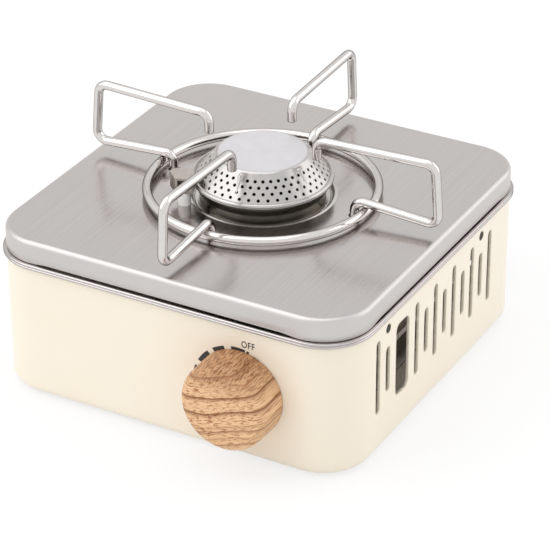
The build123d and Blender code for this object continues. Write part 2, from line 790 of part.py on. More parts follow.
def make_knob():
    """Round knob with a full front edge, a hollow back over the screw heads and a D-shaped socket."""
    back = knob_back_y()
    knob = gas_cylinder(knob_radius, back - knob_depth, back)
    knob = fillet(knob.edges().group_by(Axis.Y)[0], knob_front_radius)
    knob = fillet(knob.edges().group_by(Axis.Y)[-1], knob_back_radius)
    socket = gas_cylinder(spindle_radius + hub_clearance, back - spindle_in_knob - hub_clearance, back)
    flat_depth = spindle_flat - hub_clearance
    flat = gas_plane(back) * Pos(0, spindle_radius + hub_clearance - flat_depth / 2, spindle_in_knob / 2)
    socket -= flat * Box(3 * spindle_radius, flat_depth, 3 * spindle_in_knob)
    hollow_radius = valve_screw_offset + screw_head_radius + knob_screw_gap
    hollow_depth = screw_head_height + knob_screw_gap - knob_wall_gap
    hollow = gas_cylinder(hollow_radius, back - hollow_depth, back + knob_wall_gap)
    return knob - socket - hollow


def make_trigger_cam():
    """Snail cam on the spindle: its radius grows evenly over the knob's turn and then falls back."""
    steps = 6
    rise = []
    for step in range(steps + 1):
        angle = math.radians(180 - knob_turn * step / steps)
        radius = cam_start_radius + cam_throw * step / steps
        rise.append((radius * math.cos(angle), radius * math.sin(angle)))
    low = math.radians(300)
    low_side = (cam_start_radius * math.cos(low), cam_start_radius * math.sin(low))
    fall = math.radians(180 - knob_turn - 45)
    drop = (cam_start_radius * math.cos(fall), cam_start_radius * math.sin(fall))
    outline = [Spline(*rise), Line(rise[-1], drop), ThreePointArc(drop, low_side, rise[0])]
    face = make_face(outline) - Circle(spindle_radius + hub_clearance)
    cam_y = (bracket_y + valve_front_y + cam_thickness) / 2
    return extrude(gas_plane(cam_y) * face, amount=cam_thickness)


def plunger_tip_x():
    """Where the plunger's tip waits beside the cam."""
    return axis_x - cam_start_radius - cam_plunger_gap


def plunger_axis_y():
    """Depth of the plunger's axis, in the middle of the cam."""
    return (bracket_y + valve_front_y) / 2


def side_rod(radius, left, right):
    """Cylinder along X on the plunger's axis."""
    return Pos((left + right) / 2, plunger_axis_y(), axis_z) * Rot(0, 90, 0) * Cylinder(radius, right - left)


def make_piezo_plunger():
    """Round plunger that the cam pushes to the left, into the piezo housing."""
    return side_rod(plunger_radius, housing_right - plunger_in_housing, plunger_tip_x())


def make_piezo_housing():
    """Moulded piezo block on the bracket, with the plunger's bore."""
    middle = Pos(housing_right - housing_length / 2, bracket_y + housing_width / 2, axis_z)
    housing = middle * Box(housing_length, housing_width, housing_height)
    housing = fillet(housing.edges().filter_by(Axis.X), housing_edge_radius)
    bore_end = housing_right - plunger_in_housing - cam_throw - cam_plunger_gap
    return housing - side_rod(plunger_radius + plunger_clearance, bore_end, housing_right + 1)


def igniter_place():
    """Plan position of the spark igniter."""
    angle = math.radians(igniter_angle)
    return igniter_radius * math.cos(angle), igniter_radius * math.sin(angle)


def make_ceramic_insulator():
    """Glazed tube through the lid with a collar under it and a thin neck that carries the hood."""
    x, y = igniter_place()
    low = lid_under_z - ceramic_drop
    top = lid_top_z + ceramic_rise
    ceramic = cylinder_z(ceramic_radius, low, top, x=x, y=y)
    collar = cylinder_z(collar_radius, lid_under_z - collar_height, lid_under_z, x=x, y=y)
    dish_space = recess_top_radius + lid_sheet + collar_gap
    ceramic += collar - cylinder_z(dish_space, lid_under_z - 2 * collar_height, lid_top_z)
    ceramic += cylinder_z(neck_radius, top, top + neck_height, x=x, y=y)
    bore_radius = electrode_radius + electrode_clearance
    return ceramic - cylinder_z(bore_radius, low - 1, top + neck_height + 1, x=x, y=y)


def make_electrode():
    """Bent wire up through the ceramic, pointing at the burner."""
    x, y = igniter_place()
    angle = math.radians(igniter_angle)
    top = lid_top_z + ceramic_rise + electrode_rise
    tip_radius = igniter_radius - electrode_reach
    path = FilletPolyline(
        (x, y, lid_under_z - ceramic_drop),
        (x, y, top),
        (tip_radius * math.cos(angle), tip_radius * math.sin(angle), top),
        radius=electrode_bend_radius,
    )
    return wire(path, electrode_radius)


def make_igniter_hood():
    """Folded sheet hood on the ceramic's neck: floor, three walls, a framed front and a roof."""
    x, y = igniter_place()
    low = lid_top_z + ceramic_rise
    high = low + hood_height
    outline = [
        (hood_front_left, hood_front),
        (hood_front_right, hood_front),
        hood_back_right,
        hood_back_left,
        hood_flank,
    ]
    place = Pos(x, y, 0) * Rot(0, 0, igniter_turn)
    plan = make_face(Polyline(*outline, close=True))
    shell = extrude(Pos(0, 0, low) * plan, amount=hood_height)
    room_plan = Pos(0, 0, low + hood_sheet) * offset(plan, -hood_sheet, kind=Kind.INTERSECTION)
    room = extrude(room_plan, amount=hood_height - 2 * hood_sheet)
    front_width = hood_front_right - hood_front_left
    front_middle = (hood_front_left + hood_front_right) / 2
    window = Pos(front_middle, hood_front, (low + high) / 2)
    window = window * Box(front_width - 2 * hood_frame, 3 * hood_sheet, hood_height - 2 * hood_frame)
    side_x = (hood_front_right + hood_back_right[0]) / 2
    side_y = (hood_front + hood_back_right[1]) / 2
    side_length = hood_back_right[1] - hood_front - 2 * hood_frame
    side = Pos(side_x, side_y, (low + high) / 2)
    side = side * Box(4 * hood_frame, side_length, hood_height - 2 * hood_frame)
    neck_hole = cylinder_z(neck_radius + neck_clearance, low - 1, low + 2 * hood_sheet)
    hood = place * (shell - room - window - side - neck_hole)
    burner_space = cylinder_z(cap_rim_radius + hood_burner_gap, lid_top_z, high - hood_sheet)
    return hood - burner_space


def lead_route():
    """Points of the ignition lead, from the piezo housing's left end up to the ceramic."""
    x, y = igniter_place()
    start_y = bracket_y + housing_width / 2
    end_z = lid_under_z - ceramic_drop
    return [
        Vector(housing_left, start_y, axis_z),
        Vector(housing_left - 18, start_y, axis_z),
        Vector(x - 4, y - 36, axis_z - 2),
        Vector(x - 1, y - 12, axis_z + 2),
        Vector(x, y, axis_z + 16),
        Vector(x, y, end_z),
    ]


def make_ignition_lead():
    """Insulated lead along its route, with each bend as wide as its two runs allow."""
    points = lead_route()
    radii = []
    for before, corner, after in zip(points, points[1:], points[2:]):
        run_in = corner - before
        run_out = after - corner
        turn = math.radians(run_in.get_angle(run_out))
        radii.append(0.45 * min(run_in.length, run_out.length) / math.tan(turn / 2))
    print("ignition lead bend radii", [round(radius, 1) for radius in radii])
    path = FilletPolyline(*points, radius=radii)
    lead = wire(path, lead_radius)
    plain_volume = math.pi * lead_radius**2 * path.length
    print("ignition lead volume over section times length", round(lead.volume / plain_volume, 4))
    return lead


def make_pot_ring():
    """Wire ring that joins the four arms."""
    return Pos(0, 0, ring_z) * Torus(ring_radius, wire_radius)


def make_pot_arm():
    """Bent wire arm in the XZ plane: tip, rising top bar, splayed outer leg, lower bar, foot."""
    path = FilletPolyline(
        (arm_inner_radius, 0, arm_top_z - arm_tip_drop),
        (arm_inner_radius, 0, arm_top_z),
        (arm_outer_radius, 0, arm_top_z + arm_top_climb),
        (arm_low_radius, 0, arm_low_z),
        (arm_foot_radius, 0, arm_hook_z),
        (arm_foot_radius, 0, arm_foot_z),
        radius=arm_bend_radius,
    )
    return wire(path, wire_radius)


def build_parts():
    """Every piece by its node name."""
    parts = {
        "tin_body": make_tin_body(),
        "rim_band": make_rim_band(),
        "lid": make_lid(),
        "lid_catches": make_lid_catches(),
        "rubber_feet": make_rubber_feet(),
        "burner_seat_ring": make_burner_seat_ring(),
        "burner_rivets": make_burner_rivets(),
        "burner_bowl": make_burner_bowl(),
        "burner_cap": make_burner_cap(),
        "mixing_tube": make_mixing_tube(),
        "injector": make_injector(),
        "gas_pipe": make_gas_pipe(),
        "valve_bracket": make_valve_bracket(),
        "valve_body": make_valve_body(),
        "valve_screws": make_valve_screws(),
        "regulator": make_regulator(),
        "canister_socket": make_canister_socket(),
        "inlet_seal": make_inlet_seal(),
        "socket_magnet": make_socket_magnet(),
        "heat_shield": make_heat_shield(),
        "canister_rails": make_canister_rails(),
        "piezo_housing": make_piezo_housing(),
        "piezo_plunger": make_piezo_plunger(),
        "ignition_lead": make_ignition_lead(),
        "ceramic_insulator": make_ceramic_insulator(),
        "electrode": make_electrode(),
        "igniter_hood": make_igniter_hood(),
        "valve_spindle": make_valve_spindle(),
        "trigger_cam": make_trigger_cam(),
        "knob": make_knob(),
        "pot_ring": make_pot_ring(),
    }
    arm = make_pot_arm()
    for name, angle in zip(("right", "back", "left", "front"), foot_places()):
        parts["pot_arm_" + name] = Rot(0, 0, angle) * arm
    return parts


# The whole stove is moved back a little so that the origin lies under the middle of its overall length.
os.makedirs("parts", exist_ok=True)
for node, shape in build_parts().items():
    export_step(Pos(0, centre_shift, 0) * shape, "parts/" + node + ".step")
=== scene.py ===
# %% [markdown]
# # A portable gas stove
# The stove is a cream tin box under a brushed steel lid, with a perforated burner, a wire pot support that
# lifts off and a wood-grain knob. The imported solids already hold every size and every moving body. This
# lesson remakes the pieces whose finer surfaces show, gives every piece a finish, and lights the whole like
# a shop picture.

# %% Load the frame
import math

import bmesh
import bpy
import numpy as np
from mathutils import Matrix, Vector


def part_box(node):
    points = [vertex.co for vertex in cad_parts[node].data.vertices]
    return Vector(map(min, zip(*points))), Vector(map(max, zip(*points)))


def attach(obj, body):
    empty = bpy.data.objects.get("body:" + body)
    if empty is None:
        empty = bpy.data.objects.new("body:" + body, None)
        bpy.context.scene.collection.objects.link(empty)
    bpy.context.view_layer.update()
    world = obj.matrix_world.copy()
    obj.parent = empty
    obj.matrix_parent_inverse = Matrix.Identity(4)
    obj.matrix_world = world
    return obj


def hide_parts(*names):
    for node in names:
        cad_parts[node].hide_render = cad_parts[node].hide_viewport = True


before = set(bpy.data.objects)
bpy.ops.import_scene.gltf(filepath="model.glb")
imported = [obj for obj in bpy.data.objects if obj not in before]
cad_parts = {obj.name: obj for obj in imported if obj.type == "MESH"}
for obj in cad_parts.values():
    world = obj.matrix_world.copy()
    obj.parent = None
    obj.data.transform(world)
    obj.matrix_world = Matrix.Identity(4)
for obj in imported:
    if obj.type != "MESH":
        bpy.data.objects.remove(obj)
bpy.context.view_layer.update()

# %% [markdown]
# ## Where things are
# The solids give the places: the lid's top, the burner's axis and the gas line's axis are read from their
# boxes, so a piece made here lies where its solid lies. Shapes are worked out in millimetres and turned
# into metres when a mesh is made.

# %% Places read from the solids
MM = 0.001
METRE = 1000


def span(node):
    """Lowest and highest corner of a solid, in millimetres."""
    low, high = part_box(node)
    return np.array(low) * METRE, np.array(high) * METRE


ring_low, ring_high = span("pot_ring")
lid_low, lid_high = span("lid")
tin_low, tin_high = span("tin_body")
knob_low, knob_high = span("knob")
burner_y = (ring_low[1] + ring_high[1]) / 2
lid_top = lid_high[2]
tin_half = (tin_high[0] - tin_low[0]) / 2
gas_x = (knob_low[0] + knob_high[0]) / 2
gas_z = (knob_low[2] + knob_high[2]) / 2
underside = tin_low[2]
front_wall = tin_low[1]
print("lid top", round(lid_top, 2), "burner axis y", round(burner_y, 3))
print("knob axis", round(gas_x, 2), round(gas_z, 2), "front wall", round(front_wall, 2))

# %% [markdown]
# ## Surfaces from grids
# Almost every pressed, turned or bent piece is a grid of points: a profile carried round an axis or along a
# path. A grid could be drawn by hand in edit mode, but here it is a formula, worked out as a whole array,
# and the quads follow from the grid's two counts.

# %% Grid helpers


def grid_quads(rows, columns, closed=True):
    """Quads of a grid: each point with its right, upper right and upper neighbour; closed joins the last
    column to the first."""
    last = columns if closed else columns - 1
    row, column = np.meshgrid(np.arange(rows - 1), np.arange(last), indexing="ij")
    right = (column + 1) % columns
    low, high = row * columns, (row + 1) * columns
    return np.stack([low + column, low + right, high + right, high + column], -1).reshape(-1, 4)


def grid(points, closed=True, first_cap=False, last_cap=False):
    """Surface of an array of points with rows, columns and three coordinates, and a flat face over its
    first or last row where one is asked for."""
    rows, columns = points.shape[:2]
    faces = grid_quads(rows, columns, closed).tolist()
    if first_cap:
        faces.append(list(range(columns))[::-1])
    if last_cap:
        faces.append(list(range((rows - 1) * columns, rows * columns)))
    return points.reshape(-1, 3), faces


def joined(surfaces):
    """One surface from several: the points in a row, with each surface's face numbers moved up past the
    earlier."""
    points, faces, count = [], [], 0
    for surface_points, surface_faces in surfaces:
        points.append(surface_points)
        faces += [[corner + count for corner in face] for face in surface_faces]
        count += len(surface_points)
    return np.concatenate(points), faces


def circled(profile, steps, start=0.0):
    """Pairs of radius and height carried round a full circle from a start angle: radius times cosine,
    radius times sine, and height."""
    profile = np.asarray(profile, float)
    turn = start + np.linspace(0, 2 * math.pi, steps, endpoint=False)
    heights = np.repeat(profile[:, 1:], steps, axis=1)
    return profile[:, :1] * np.cos(turn), profile[:, :1] * np.sin(turn), heights


def turned(profile, steps, first_cap=False, last_cap=False, start=0.0):
    """Surface of revolution about the burner's axis, from radius and height pairs."""
    x, y, z = circled(profile, steps, start)
    return grid(np.stack([x, y + burner_y, z], -1), True, first_cap, last_cap)


def arc(centre, radius, start, end, steps):
    """Points on a circle from one angle to another, in degrees."""
    turn = np.radians(np.linspace(start, end, steps + 1))
    return [(centre[0] + radius * math.cos(t), centre[1] + radius * math.sin(t)) for t in turn]


def shifted(outline, out, up):
    """An outline moved outwards and upwards: a fixed amount added to each radius and to each height."""
    return [(radius + out, height + up) for radius, height in outline]


print("a closed grid of 3 rows and 8 columns has", len(grid_quads(3, 8)), "quads")

# %% [markdown]
# ## From points to a piece
# A mesh made by formula has doubled points where grids meet, and its faces may look inwards. Merging the
# doubles and turning all faces outwards makes it a sound shell. A sharp-edge rule by angle keeps flat faces
# flat and round ones smooth.

# %% Piece helpers
SHARP_ANGLE = math.radians(38)
MERGE_DISTANCE = 2e-6


def shell_mesh(name, surface):
    """Mesh in metres from a surface in millimetres, with doubled points merged and all faces turned
    outwards."""
    points, faces = surface
    mesh = bpy.data.meshes.new(name)
    mesh.from_pydata((np.asarray(points) * MM).tolist(), [], faces)
    shell = bmesh.new()
    shell.from_mesh(mesh)
    bmesh.ops.remove_doubles(shell, verts=shell.verts, dist=MERGE_DISTANCE)
    bmesh.ops.recalc_face_normals(shell, faces=shell.faces)
    shell.to_mesh(mesh)
    shell.free()
    return mesh


def in_scene(name, data):
    """New object at the origin, linked to the scene."""
    made = bpy.data.objects.new(name, data)
    bpy.context.scene.collection.objects.link(made)
    return made


def smooth(mesh):
    """Smooth shading, with edges over the sharp angle kept sharp."""
    mesh.polygons.foreach_set("use_smooth", np.ones(len(mesh.polygons), bool))
    mesh.set_sharp_from_angle(angle=SHARP_ANGLE)


def fitted(made, body, replaces=()):
    """The piece shaded, riding on a body and the solids that it stands for."""
    smooth(made.data)
    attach(made, body)
    if replaces:
        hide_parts(*replaces)
    print(made.name, len(made.data.polygons), "faces")
    return made


def piece(name, surface, body, replaces=()):
    """New piece at the origin from a surface in millimetres."""
    return fitted(in_scene(name, shell_mesh(name, surface)), body, replaces)


# %% [markdown]
# ## Sheet, edges and cuts
# Sheet metal starts as its outer face and gets its thickness from a Solidify modifier. A Bevel rounds the
# edges as paint or a press does. Where a hole has to go through several faces at once, a cutter takes it
# out, and the result becomes the piece's own mesh, so no modifier is left that depends on the cutter.

# %% Sheet helpers


def thicken(made, thickness):
    """Sheet metal: the surface is the outer face, and the sheet goes inwards from it."""
    sheet = made.modifiers.new("sheet", "SOLIDIFY")
    sheet.thickness = thickness * MM
    sheet.offset = -1
    sheet.use_even_offset = True


def soften(made, width):
    """Edges that a press or paint leaves slightly round."""
    edge = made.modifiers.new("edge", "BEVEL")
    edge.width = width * MM
    edge.segments = 2
    edge.limit_method = "ANGLE"
    edge.angle_limit = SHARP_ANGLE
    edge.harden_normals = True


def final_mesh(made):
    """The mesh that an object comes to with its modifiers or letters worked out."""
    bpy.context.view_layer.update()
    return bpy.data.meshes.new_from_object(made.evaluated_get(bpy.context.evaluated_depsgraph_get()))


def settle(made, cutters):
    """Cuts the piece with each cutter surface, then keeps the result as the piece's own mesh."""
    tools = []
    for number, surface in enumerate(cutters):
        tools.append(in_scene("cutter", shell_mesh("cutter", surface)))
        cut = made.modifiers.new("cut" + str(number), "BOOLEAN")
        cut.object = tools[-1]
        cut.operation = "DIFFERENCE"
        cut.solver = "EXACT"
    shape = final_mesh(made)
    made.modifiers.clear()
    made.data = shape
    smooth(shape)
    for tool in tools:
        bpy.data.objects.remove(tool)
    print(made.name, "settled with", len(shape.polygons), "faces")


# %% [markdown]
# ## The way round a rounded square
# The tin, the rim and the lid are all carried round the same rounded square. It is walked once: each step
# has the centre that its corner turns about, which slides along the straight sides, and the outward
# direction there. A point at any offset from the wall is then centre plus direction times corner radius and
# offset.

# %% Rounded square
CORNER_RADIUS = 23.4
corner_at = tin_half - CORNER_RADIUS


def square_walk(runs, corner_steps):
    """Centres and outward directions round the square, from the right side's front end: four runs of places
    along the sides, each followed by a quarter turn."""
    centres, directions, along = [], [], []
    for side in range(4):
        turn = side * math.pi / 2
        out = np.array([math.cos(turn), math.sin(turn)])
        ahead = np.array([-math.sin(turn), math.cos(turn)])
        run = np.asarray(runs[side], float)
        centres.append(corner_at * out + run[:, None] * ahead)
        directions.append(np.repeat(out[None], len(run), 0))
        along.append(run)
        bend = turn + np.linspace(0, math.pi / 2, corner_steps + 1)[1:-1]
        centres.append(np.repeat((corner_at * (out + ahead))[None], len(bend), 0))
        directions.append(np.stack([np.cos(bend), np.sin(bend)], -1))
        along.append(np.full(len(bend), 2 * corner_at))
    return np.concatenate(centres), np.concatenate(directions), np.concatenate(along)


def carried(walk, profile):
    """Points of a profile carried round the square: offset from the wall and height, at each step of the
    walk."""
    centres, directions, _ = walk
    profile = np.asarray(profile, float)
    plan = centres[None] + directions[None] * (CORNER_RADIUS + profile[:, 0])[:, None, None]
    height = np.repeat(profile[:, 1:], len(centres), axis=1)[..., None]
    points = np.concatenate([plan, height], -1)
    points[..., 1] += burner_y
    return points


print("straight sides", round(2 * corner_at, 2), "corner radius", CORNER_RADIUS)

# %% [markdown]
# ## The tin box
# The real box is drawn from sheet steel and punched before it is painted. A flat wall with punched slots
# could be cut with booleans, but then the paint's rounded edges are hard to add. Here each slot gets a
# panel of its own: the panel's border is walked in step with the slot's edge, and rings of quads fill the
# room between. The panels meet point by point, so the sheet's thickness and its softened edges follow
# cleanly.

# %% Panels with a hole
BOTTOM_RADIUS = 5.3
RIM_COVER = 0.9
PANEL_ROWS = 24
PANEL_RINGS = (0.0, 0.45, 0.8, 1.0)
HALF_CORNER_POINTS = 9
panel_low = underside + BOTTOM_RADIUS
up_steps = np.linspace(panel_low, tin_high[2] - RIM_COVER, PANEL_ROWS + 1)


def hole_edge(middle, half_width, half_height, radius, side, shares):
    """Points on one quarter of a rounded hole's edge: half a corner arc, a straight run and half the next
    corner arc, measured by length."""
    inner = np.array([half_width - radius, half_height - radius])
    corners = inner * np.array([(-1, -1), (1, -1), (1, 1), (-1, 1)])
    halves = []
    for corner, start in ((side, 225), ((side + 1) % 4, 270)):
        turn = np.radians(np.linspace(start, start + 45, HALF_CORNER_POINTS) + 90 * side)
        halves.append(corners[corner] + radius * np.stack([np.cos(turn), np.sin(turn)], -1))
    edge = np.concatenate(halves)
    length = np.concatenate([[0], np.cumsum(np.linalg.norm(np.diff(edge, axis=0), axis=1))])
    at = shares * length[-1]
    walked = np.stack([np.interp(at, length, edge[:, 0]), np.interp(at, length, edge[:, 1])], -1)
    return np.asarray(middle) + walked


def holed_panel(across, up, middle, half_width, half_height, radius):
    """Flat panel with one rounded hole: border points and hole points at equal shares of each side, blended
    in straight lines from border to hole."""
    sides = [
        np.stack([across, np.full(len(across), up[0])], -1),
        np.stack([np.full(len(up), across[-1]), up], -1),
        np.stack([across[::-1], np.full(len(across), up[-1])], -1),
        np.stack([np.full(len(up), across[0]), up[::-1]], -1),
    ]
    border = np.concatenate([side[:-1] for side in sides])
    hole = np.concatenate([
        hole_edge(middle, half_width, half_height, radius, number, np.linspace(0, 1, len(side))[:-1])
        for number, side in enumerate(sides)
    ])
    share = np.array(PANEL_RINGS)[:, None, None]
    return (1 - share) * border + share * hole


def plain_panel(across, up):
    """Flat panel without a hole, on the same grid lines."""
    return np.stack(np.meshgrid(across, up), -1)


print("wall panels from", round(up_steps[0], 2), "to", round(up_steps[-1], 2))

# %% [markdown]
# Both side walls have a row of vent slots, long and short by turns, with a round hole over two of the short
# ones for the lid's spring catches. On the right a window takes the place of two slots. Every slot has an
# equal cell of the wall, so one loop lays out the row; a cell with a catch hole is split into two panels.

# %% Slots of the side walls
SLOT_COUNT = 13
SLOT_PITCH = 9.66
SLOT_ROW = -4.4
SLOT_HALF_WIDTH = 2.0
LONG_SLOT = (underside + 21.5, underside + 59.5)
SHORT_SLOT = (underside + 28.5, underside + 51.8)
WINDOW = (underside + 20.5, underside + 58.3)
WINDOW_HALF_WIDTH = 6.5
WINDOW_RADIUS = 3.6
WINDOW_PLACES = (2, 3)
CATCH_HEIGHT = underside + 61.2
CATCH_RADIUS = 2.3
CATCH_PLACES = (1, 11)
CATCH_SPLIT = 20
CELL_STEPS = 6
slot_places = SLOT_ROW + (np.arange(SLOT_COUNT) - (SLOT_COUNT - 1) / 2) * SLOT_PITCH
row_start = slot_places[0] - SLOT_PITCH / 2
cell_lines = row_start + np.arange(SLOT_COUNT * CELL_STEPS + 1) * SLOT_PITCH / CELL_STEPS
side_run = np.concatenate([[-corner_at], cell_lines, [corner_at]])


def side_panels(with_window):
    """Panels of one slotted wall in wall coordinates, place along the wall and height, each with a note
    whether it goes round a hole."""
    panels = [(plain_panel(ends, up_steps), False) for ends in (side_run[:2], side_run[-2:])]
    for number, middle in enumerate(slot_places):
        first = number * CELL_STEPS
        lines = cell_lines[first:first + CELL_STEPS + 1]
        if with_window and number in WINDOW_PLACES:
            if number == WINDOW_PLACES[0]:
                wide = cell_lines[first:first + 2 * CELL_STEPS + 1]
                centre = (middle + SLOT_PITCH / 2, sum(WINDOW) / 2)
                tall = (WINDOW[1] - WINDOW[0]) / 2
                window = holed_panel(wide, up_steps, centre, WINDOW_HALF_WIDTH, tall, WINDOW_RADIUS)
                panels.append((window, True))
            continue
        low, high = LONG_SLOT if number % 2 == 0 else SHORT_SLOT
        centre, tall = (middle, (low + high) / 2), (high - low) / 2
        reach = up_steps[:CATCH_SPLIT + 1] if number in CATCH_PLACES else up_steps
        panels.append((holed_panel(lines, reach, centre, SLOT_HALF_WIDTH, tall, SLOT_HALF_WIDTH), True))
        if number in CATCH_PLACES:
            above, centre = up_steps[CATCH_SPLIT:], (middle, CATCH_HEIGHT)
            catch = holed_panel(lines, above, centre, CATCH_RADIUS, CATCH_RADIUS, CATCH_RADIUS)
            panels.append((catch, True))
    return panels


def on_wall(panel, side):
    """Wall coordinates to the stove's: side 0 is the right wall, 1 the back, 2 the left and 3 the front."""
    turn = side * math.pi / 2
    along, height = panel[..., 0], panel[..., 1]
    x = tin_half * math.cos(turn) - along * math.sin(turn)
    y = tin_half * math.sin(turn) + along * math.cos(turn) + burner_y
    return np.stack([x, y, height], -1)


print("right wall", len(side_panels(True)), "panels, left wall", len(side_panels(False)))

# %% [markdown]
# The floor and its rounded edge are one profile carried round the square. The four walls and four corners
# stand on it with the same columns, so everything joins into one sheet.

# %% Put the tin together
WALL_SHEET = 1.5
PAINT_EDGE = 0.35
TIN_CORNER_STEPS = 14
front_run = np.linspace(-corner_at, corner_at, 13)
tin_walk = square_walk([side_run, front_run, -side_run[::-1], front_run], TIN_CORNER_STEPS)
bottom_profile = arc((-BOTTOM_RADIUS, panel_low), BOTTOM_RADIUS, -90, 0, 8)
tin_surfaces = [grid(carried(tin_walk, bottom_profile), first_cap=True)]
for panel, around_hole in side_panels(True):
    tin_surfaces.append(grid(on_wall(panel, 0), around_hole))
for panel, around_hole in side_panels(False):
    tin_surfaces.append(grid(on_wall(panel * np.array([-1, 1]), 2), around_hole))
for side in (1, 3):
    tin_surfaces.append(grid(on_wall(plain_panel(front_run, up_steps), side), False))
for quarter in range(4):
    bend = quarter * math.pi / 2 + np.linspace(0, math.pi / 2, TIN_CORNER_STEPS + 1)
    diagonal = quarter * math.pi / 2 + math.pi / 4
    middle = corner_at * math.sqrt(2) * np.array([math.cos(diagonal), math.sin(diagonal)])
    x, z = np.meshgrid(middle[0] + CORNER_RADIUS * np.cos(bend), up_steps)
    y, z = np.meshgrid(middle[1] + CORNER_RADIUS * np.sin(bend) + burner_y, up_steps)
    tin_surfaces.append(grid(np.stack([x, y, z], -1), False))
tin = piece("tin_box", joined(tin_surfaces), "stove", ["tin_body"])
thicken(tin, WALL_SHEET)
soften(tin, PAINT_EDGE)

# %% [markdown]
# The canister goes in through an arch in the back wall. It is the one opening that crosses the bottom bend,
# so a round cutter takes it out of the finished sheet, down to the floor.

# %% Cut the canister arch
ARCH_RADIUS = 33.2
ARCH_STEPS = 96
ABOVE_FLOOR = 0.02
floor_top = underside + WALL_SHEET
back_wall = tin_high[1]
turn = np.radians(np.linspace(0, 360, ARCH_STEPS + 1)[:-1])
arch_x = gas_x + ARCH_RADIUS * np.cos(turn)
arch_z = np.maximum(gas_z + ARCH_RADIUS * np.sin(turn), floor_top + ABOVE_FLOOR)
arch_rows = [
    np.stack([arch_x, np.full(ARCH_STEPS, depth), arch_z], -1)
    for depth in (back_wall - 4 * WALL_SHEET, back_wall + WALL_SHEET)
]
settle(tin, [grid(np.stack(arch_rows), True, True, True)])

# %% [markdown]
# ## The rolled rim
# A bright band covers the wall's raw top edge. Its outer face has two rounded lips with a fine groove
# between them, which is what draws two thin bright lines round the box. One closed profile goes round the
# square.

# %% Rim
RIM_REACH = 1.75
RIM_SHEET = 0.8
LIP = 0.62
LIP_TURN = 65
GROOVE_DEPTH = 0.32
WALL_FIT = 0.06
INNER_LEG = (-2.3, -1.6)
FINE_CORNER_STEPS = 20
rim_low, rim_high = (corner[2] for corner in span("rim_band"))
rim_profile = [(WALL_FIT, rim_low)]
rim_profile += arc((RIM_REACH - LIP, rim_low + LIP), LIP, -90, LIP_TURN, 6)
rim_profile += [(RIM_REACH - GROOVE_DEPTH, (rim_low + rim_high) / 2)]
rim_profile += arc((RIM_REACH - LIP, rim_high - LIP), LIP, -LIP_TURN, 90, 6)
rim_profile += [(INNER_LEG[0], rim_high), (INNER_LEG[0], rim_low), (INNER_LEG[1], rim_low)]
rim_profile += [(INNER_LEG[1], rim_high - RIM_SHEET), (WALL_FIT, rim_high - RIM_SHEET), rim_profile[0]]
rim_run = np.linspace(-corner_at, corner_at, 9)
rim_walk = square_walk([rim_run] * 4, FINE_CORNER_STEPS)
piece("rim_bead", grid(carried(rim_walk, rim_profile)), "stove", ["rim_band"])

# %% [markdown]
# ## The lid
# The lid is one drawn sheet: a skirt, a rounded edge, a flat top and a round recess for the burner. The
# skirt is raised along each straight side, so air gets in above the rim. The grid's columns go round the
# square, and its first rows climb the skirt and turn over the edge. The lift of the skirt's foot is a
# smooth step at both ends.

# %% Skirt and edge of the lid
LID_REACH = 0.15
LID_EDGE = 2.4
EDGE_LEAD = 0.3
VENT_HEIGHT = 1.0
VENT_END = corner_at - 0.5
VENT_RAMP = 9.0
VENT_MIDDLE = 56
CORNER_GAP = 0.3
FOOT_TURN = 0.35
vent_slope = np.linspace(VENT_END - VENT_RAMP, VENT_END, 8)
vent_run = np.linspace(-VENT_MIDDLE, VENT_MIDDLE, 21)
lid_run = np.concatenate([[-corner_at], -vent_slope[::-1], vent_run, vent_slope, [corner_at]])
lid_walk = square_walk([lid_run] * 4, FINE_CORNER_STEPS)
raised = np.clip((VENT_END - np.abs(lid_walk[2])) / VENT_RAMP, 0, 1)
lift = raised * raised * (3 - 2 * raised)
skirt_low = lid_low[2] + CORNER_GAP + (VENT_HEIGHT - CORNER_GAP) * lift
edge_start = lid_top - LID_EDGE
# Each row: offset from the skirt's face, rise from its foot, share of its height
skirt_rows = [(-FOOT_TURN, 0, 0), (-0.1, 0.12, 0), (0, FOOT_TURN, 0), (0, 0, 0.5), (0, 0, 1)]
skirt = carried(lid_walk, [(LID_REACH + offset, 0) for offset, _, _ in skirt_rows])
for row, (_, rise, share) in enumerate(skirt_rows):
    skirt[row, :, 2] = skirt_low + rise + share * (edge_start - EDGE_LEAD - skirt_low)
edge_profile = arc((LID_REACH - LID_EDGE, edge_start), LID_EDGE, 0, 90, 10)
edge_profile += [(LID_REACH - LID_EDGE - EDGE_LEAD, lid_top)]
edge = carried(lid_walk, edge_profile)
print("skirt foot between", round(skirt_low.min(), 2), "and", round(skirt_low.max(), 2))

# %% [markdown]
# The same columns run on over the flat top. A few rows blend the square into a circle, and the last rows go
# down into the recess and in to the burner's opening.

# %% Top and recess of the lid
LID_SHEET = 0.8
RECESS_RADII = (32.6, 34.2)
RECESS_DEPTH = 2.2
SEAT_MIDDLE = 31.0
OPENING_RADIUS = 28.8
recess_floor = lid_top - RECESS_DEPTH
angle = np.arctan2(edge[-1, :, 1] - burner_y, edge[-1, :, 0])


def circle_row(radius, height):
    """Points of the lid's columns on a circle about the burner."""
    x, y = radius * np.cos(angle), radius * np.sin(angle) + burner_y
    return np.stack([x, y, np.full(len(angle), height)], -1)


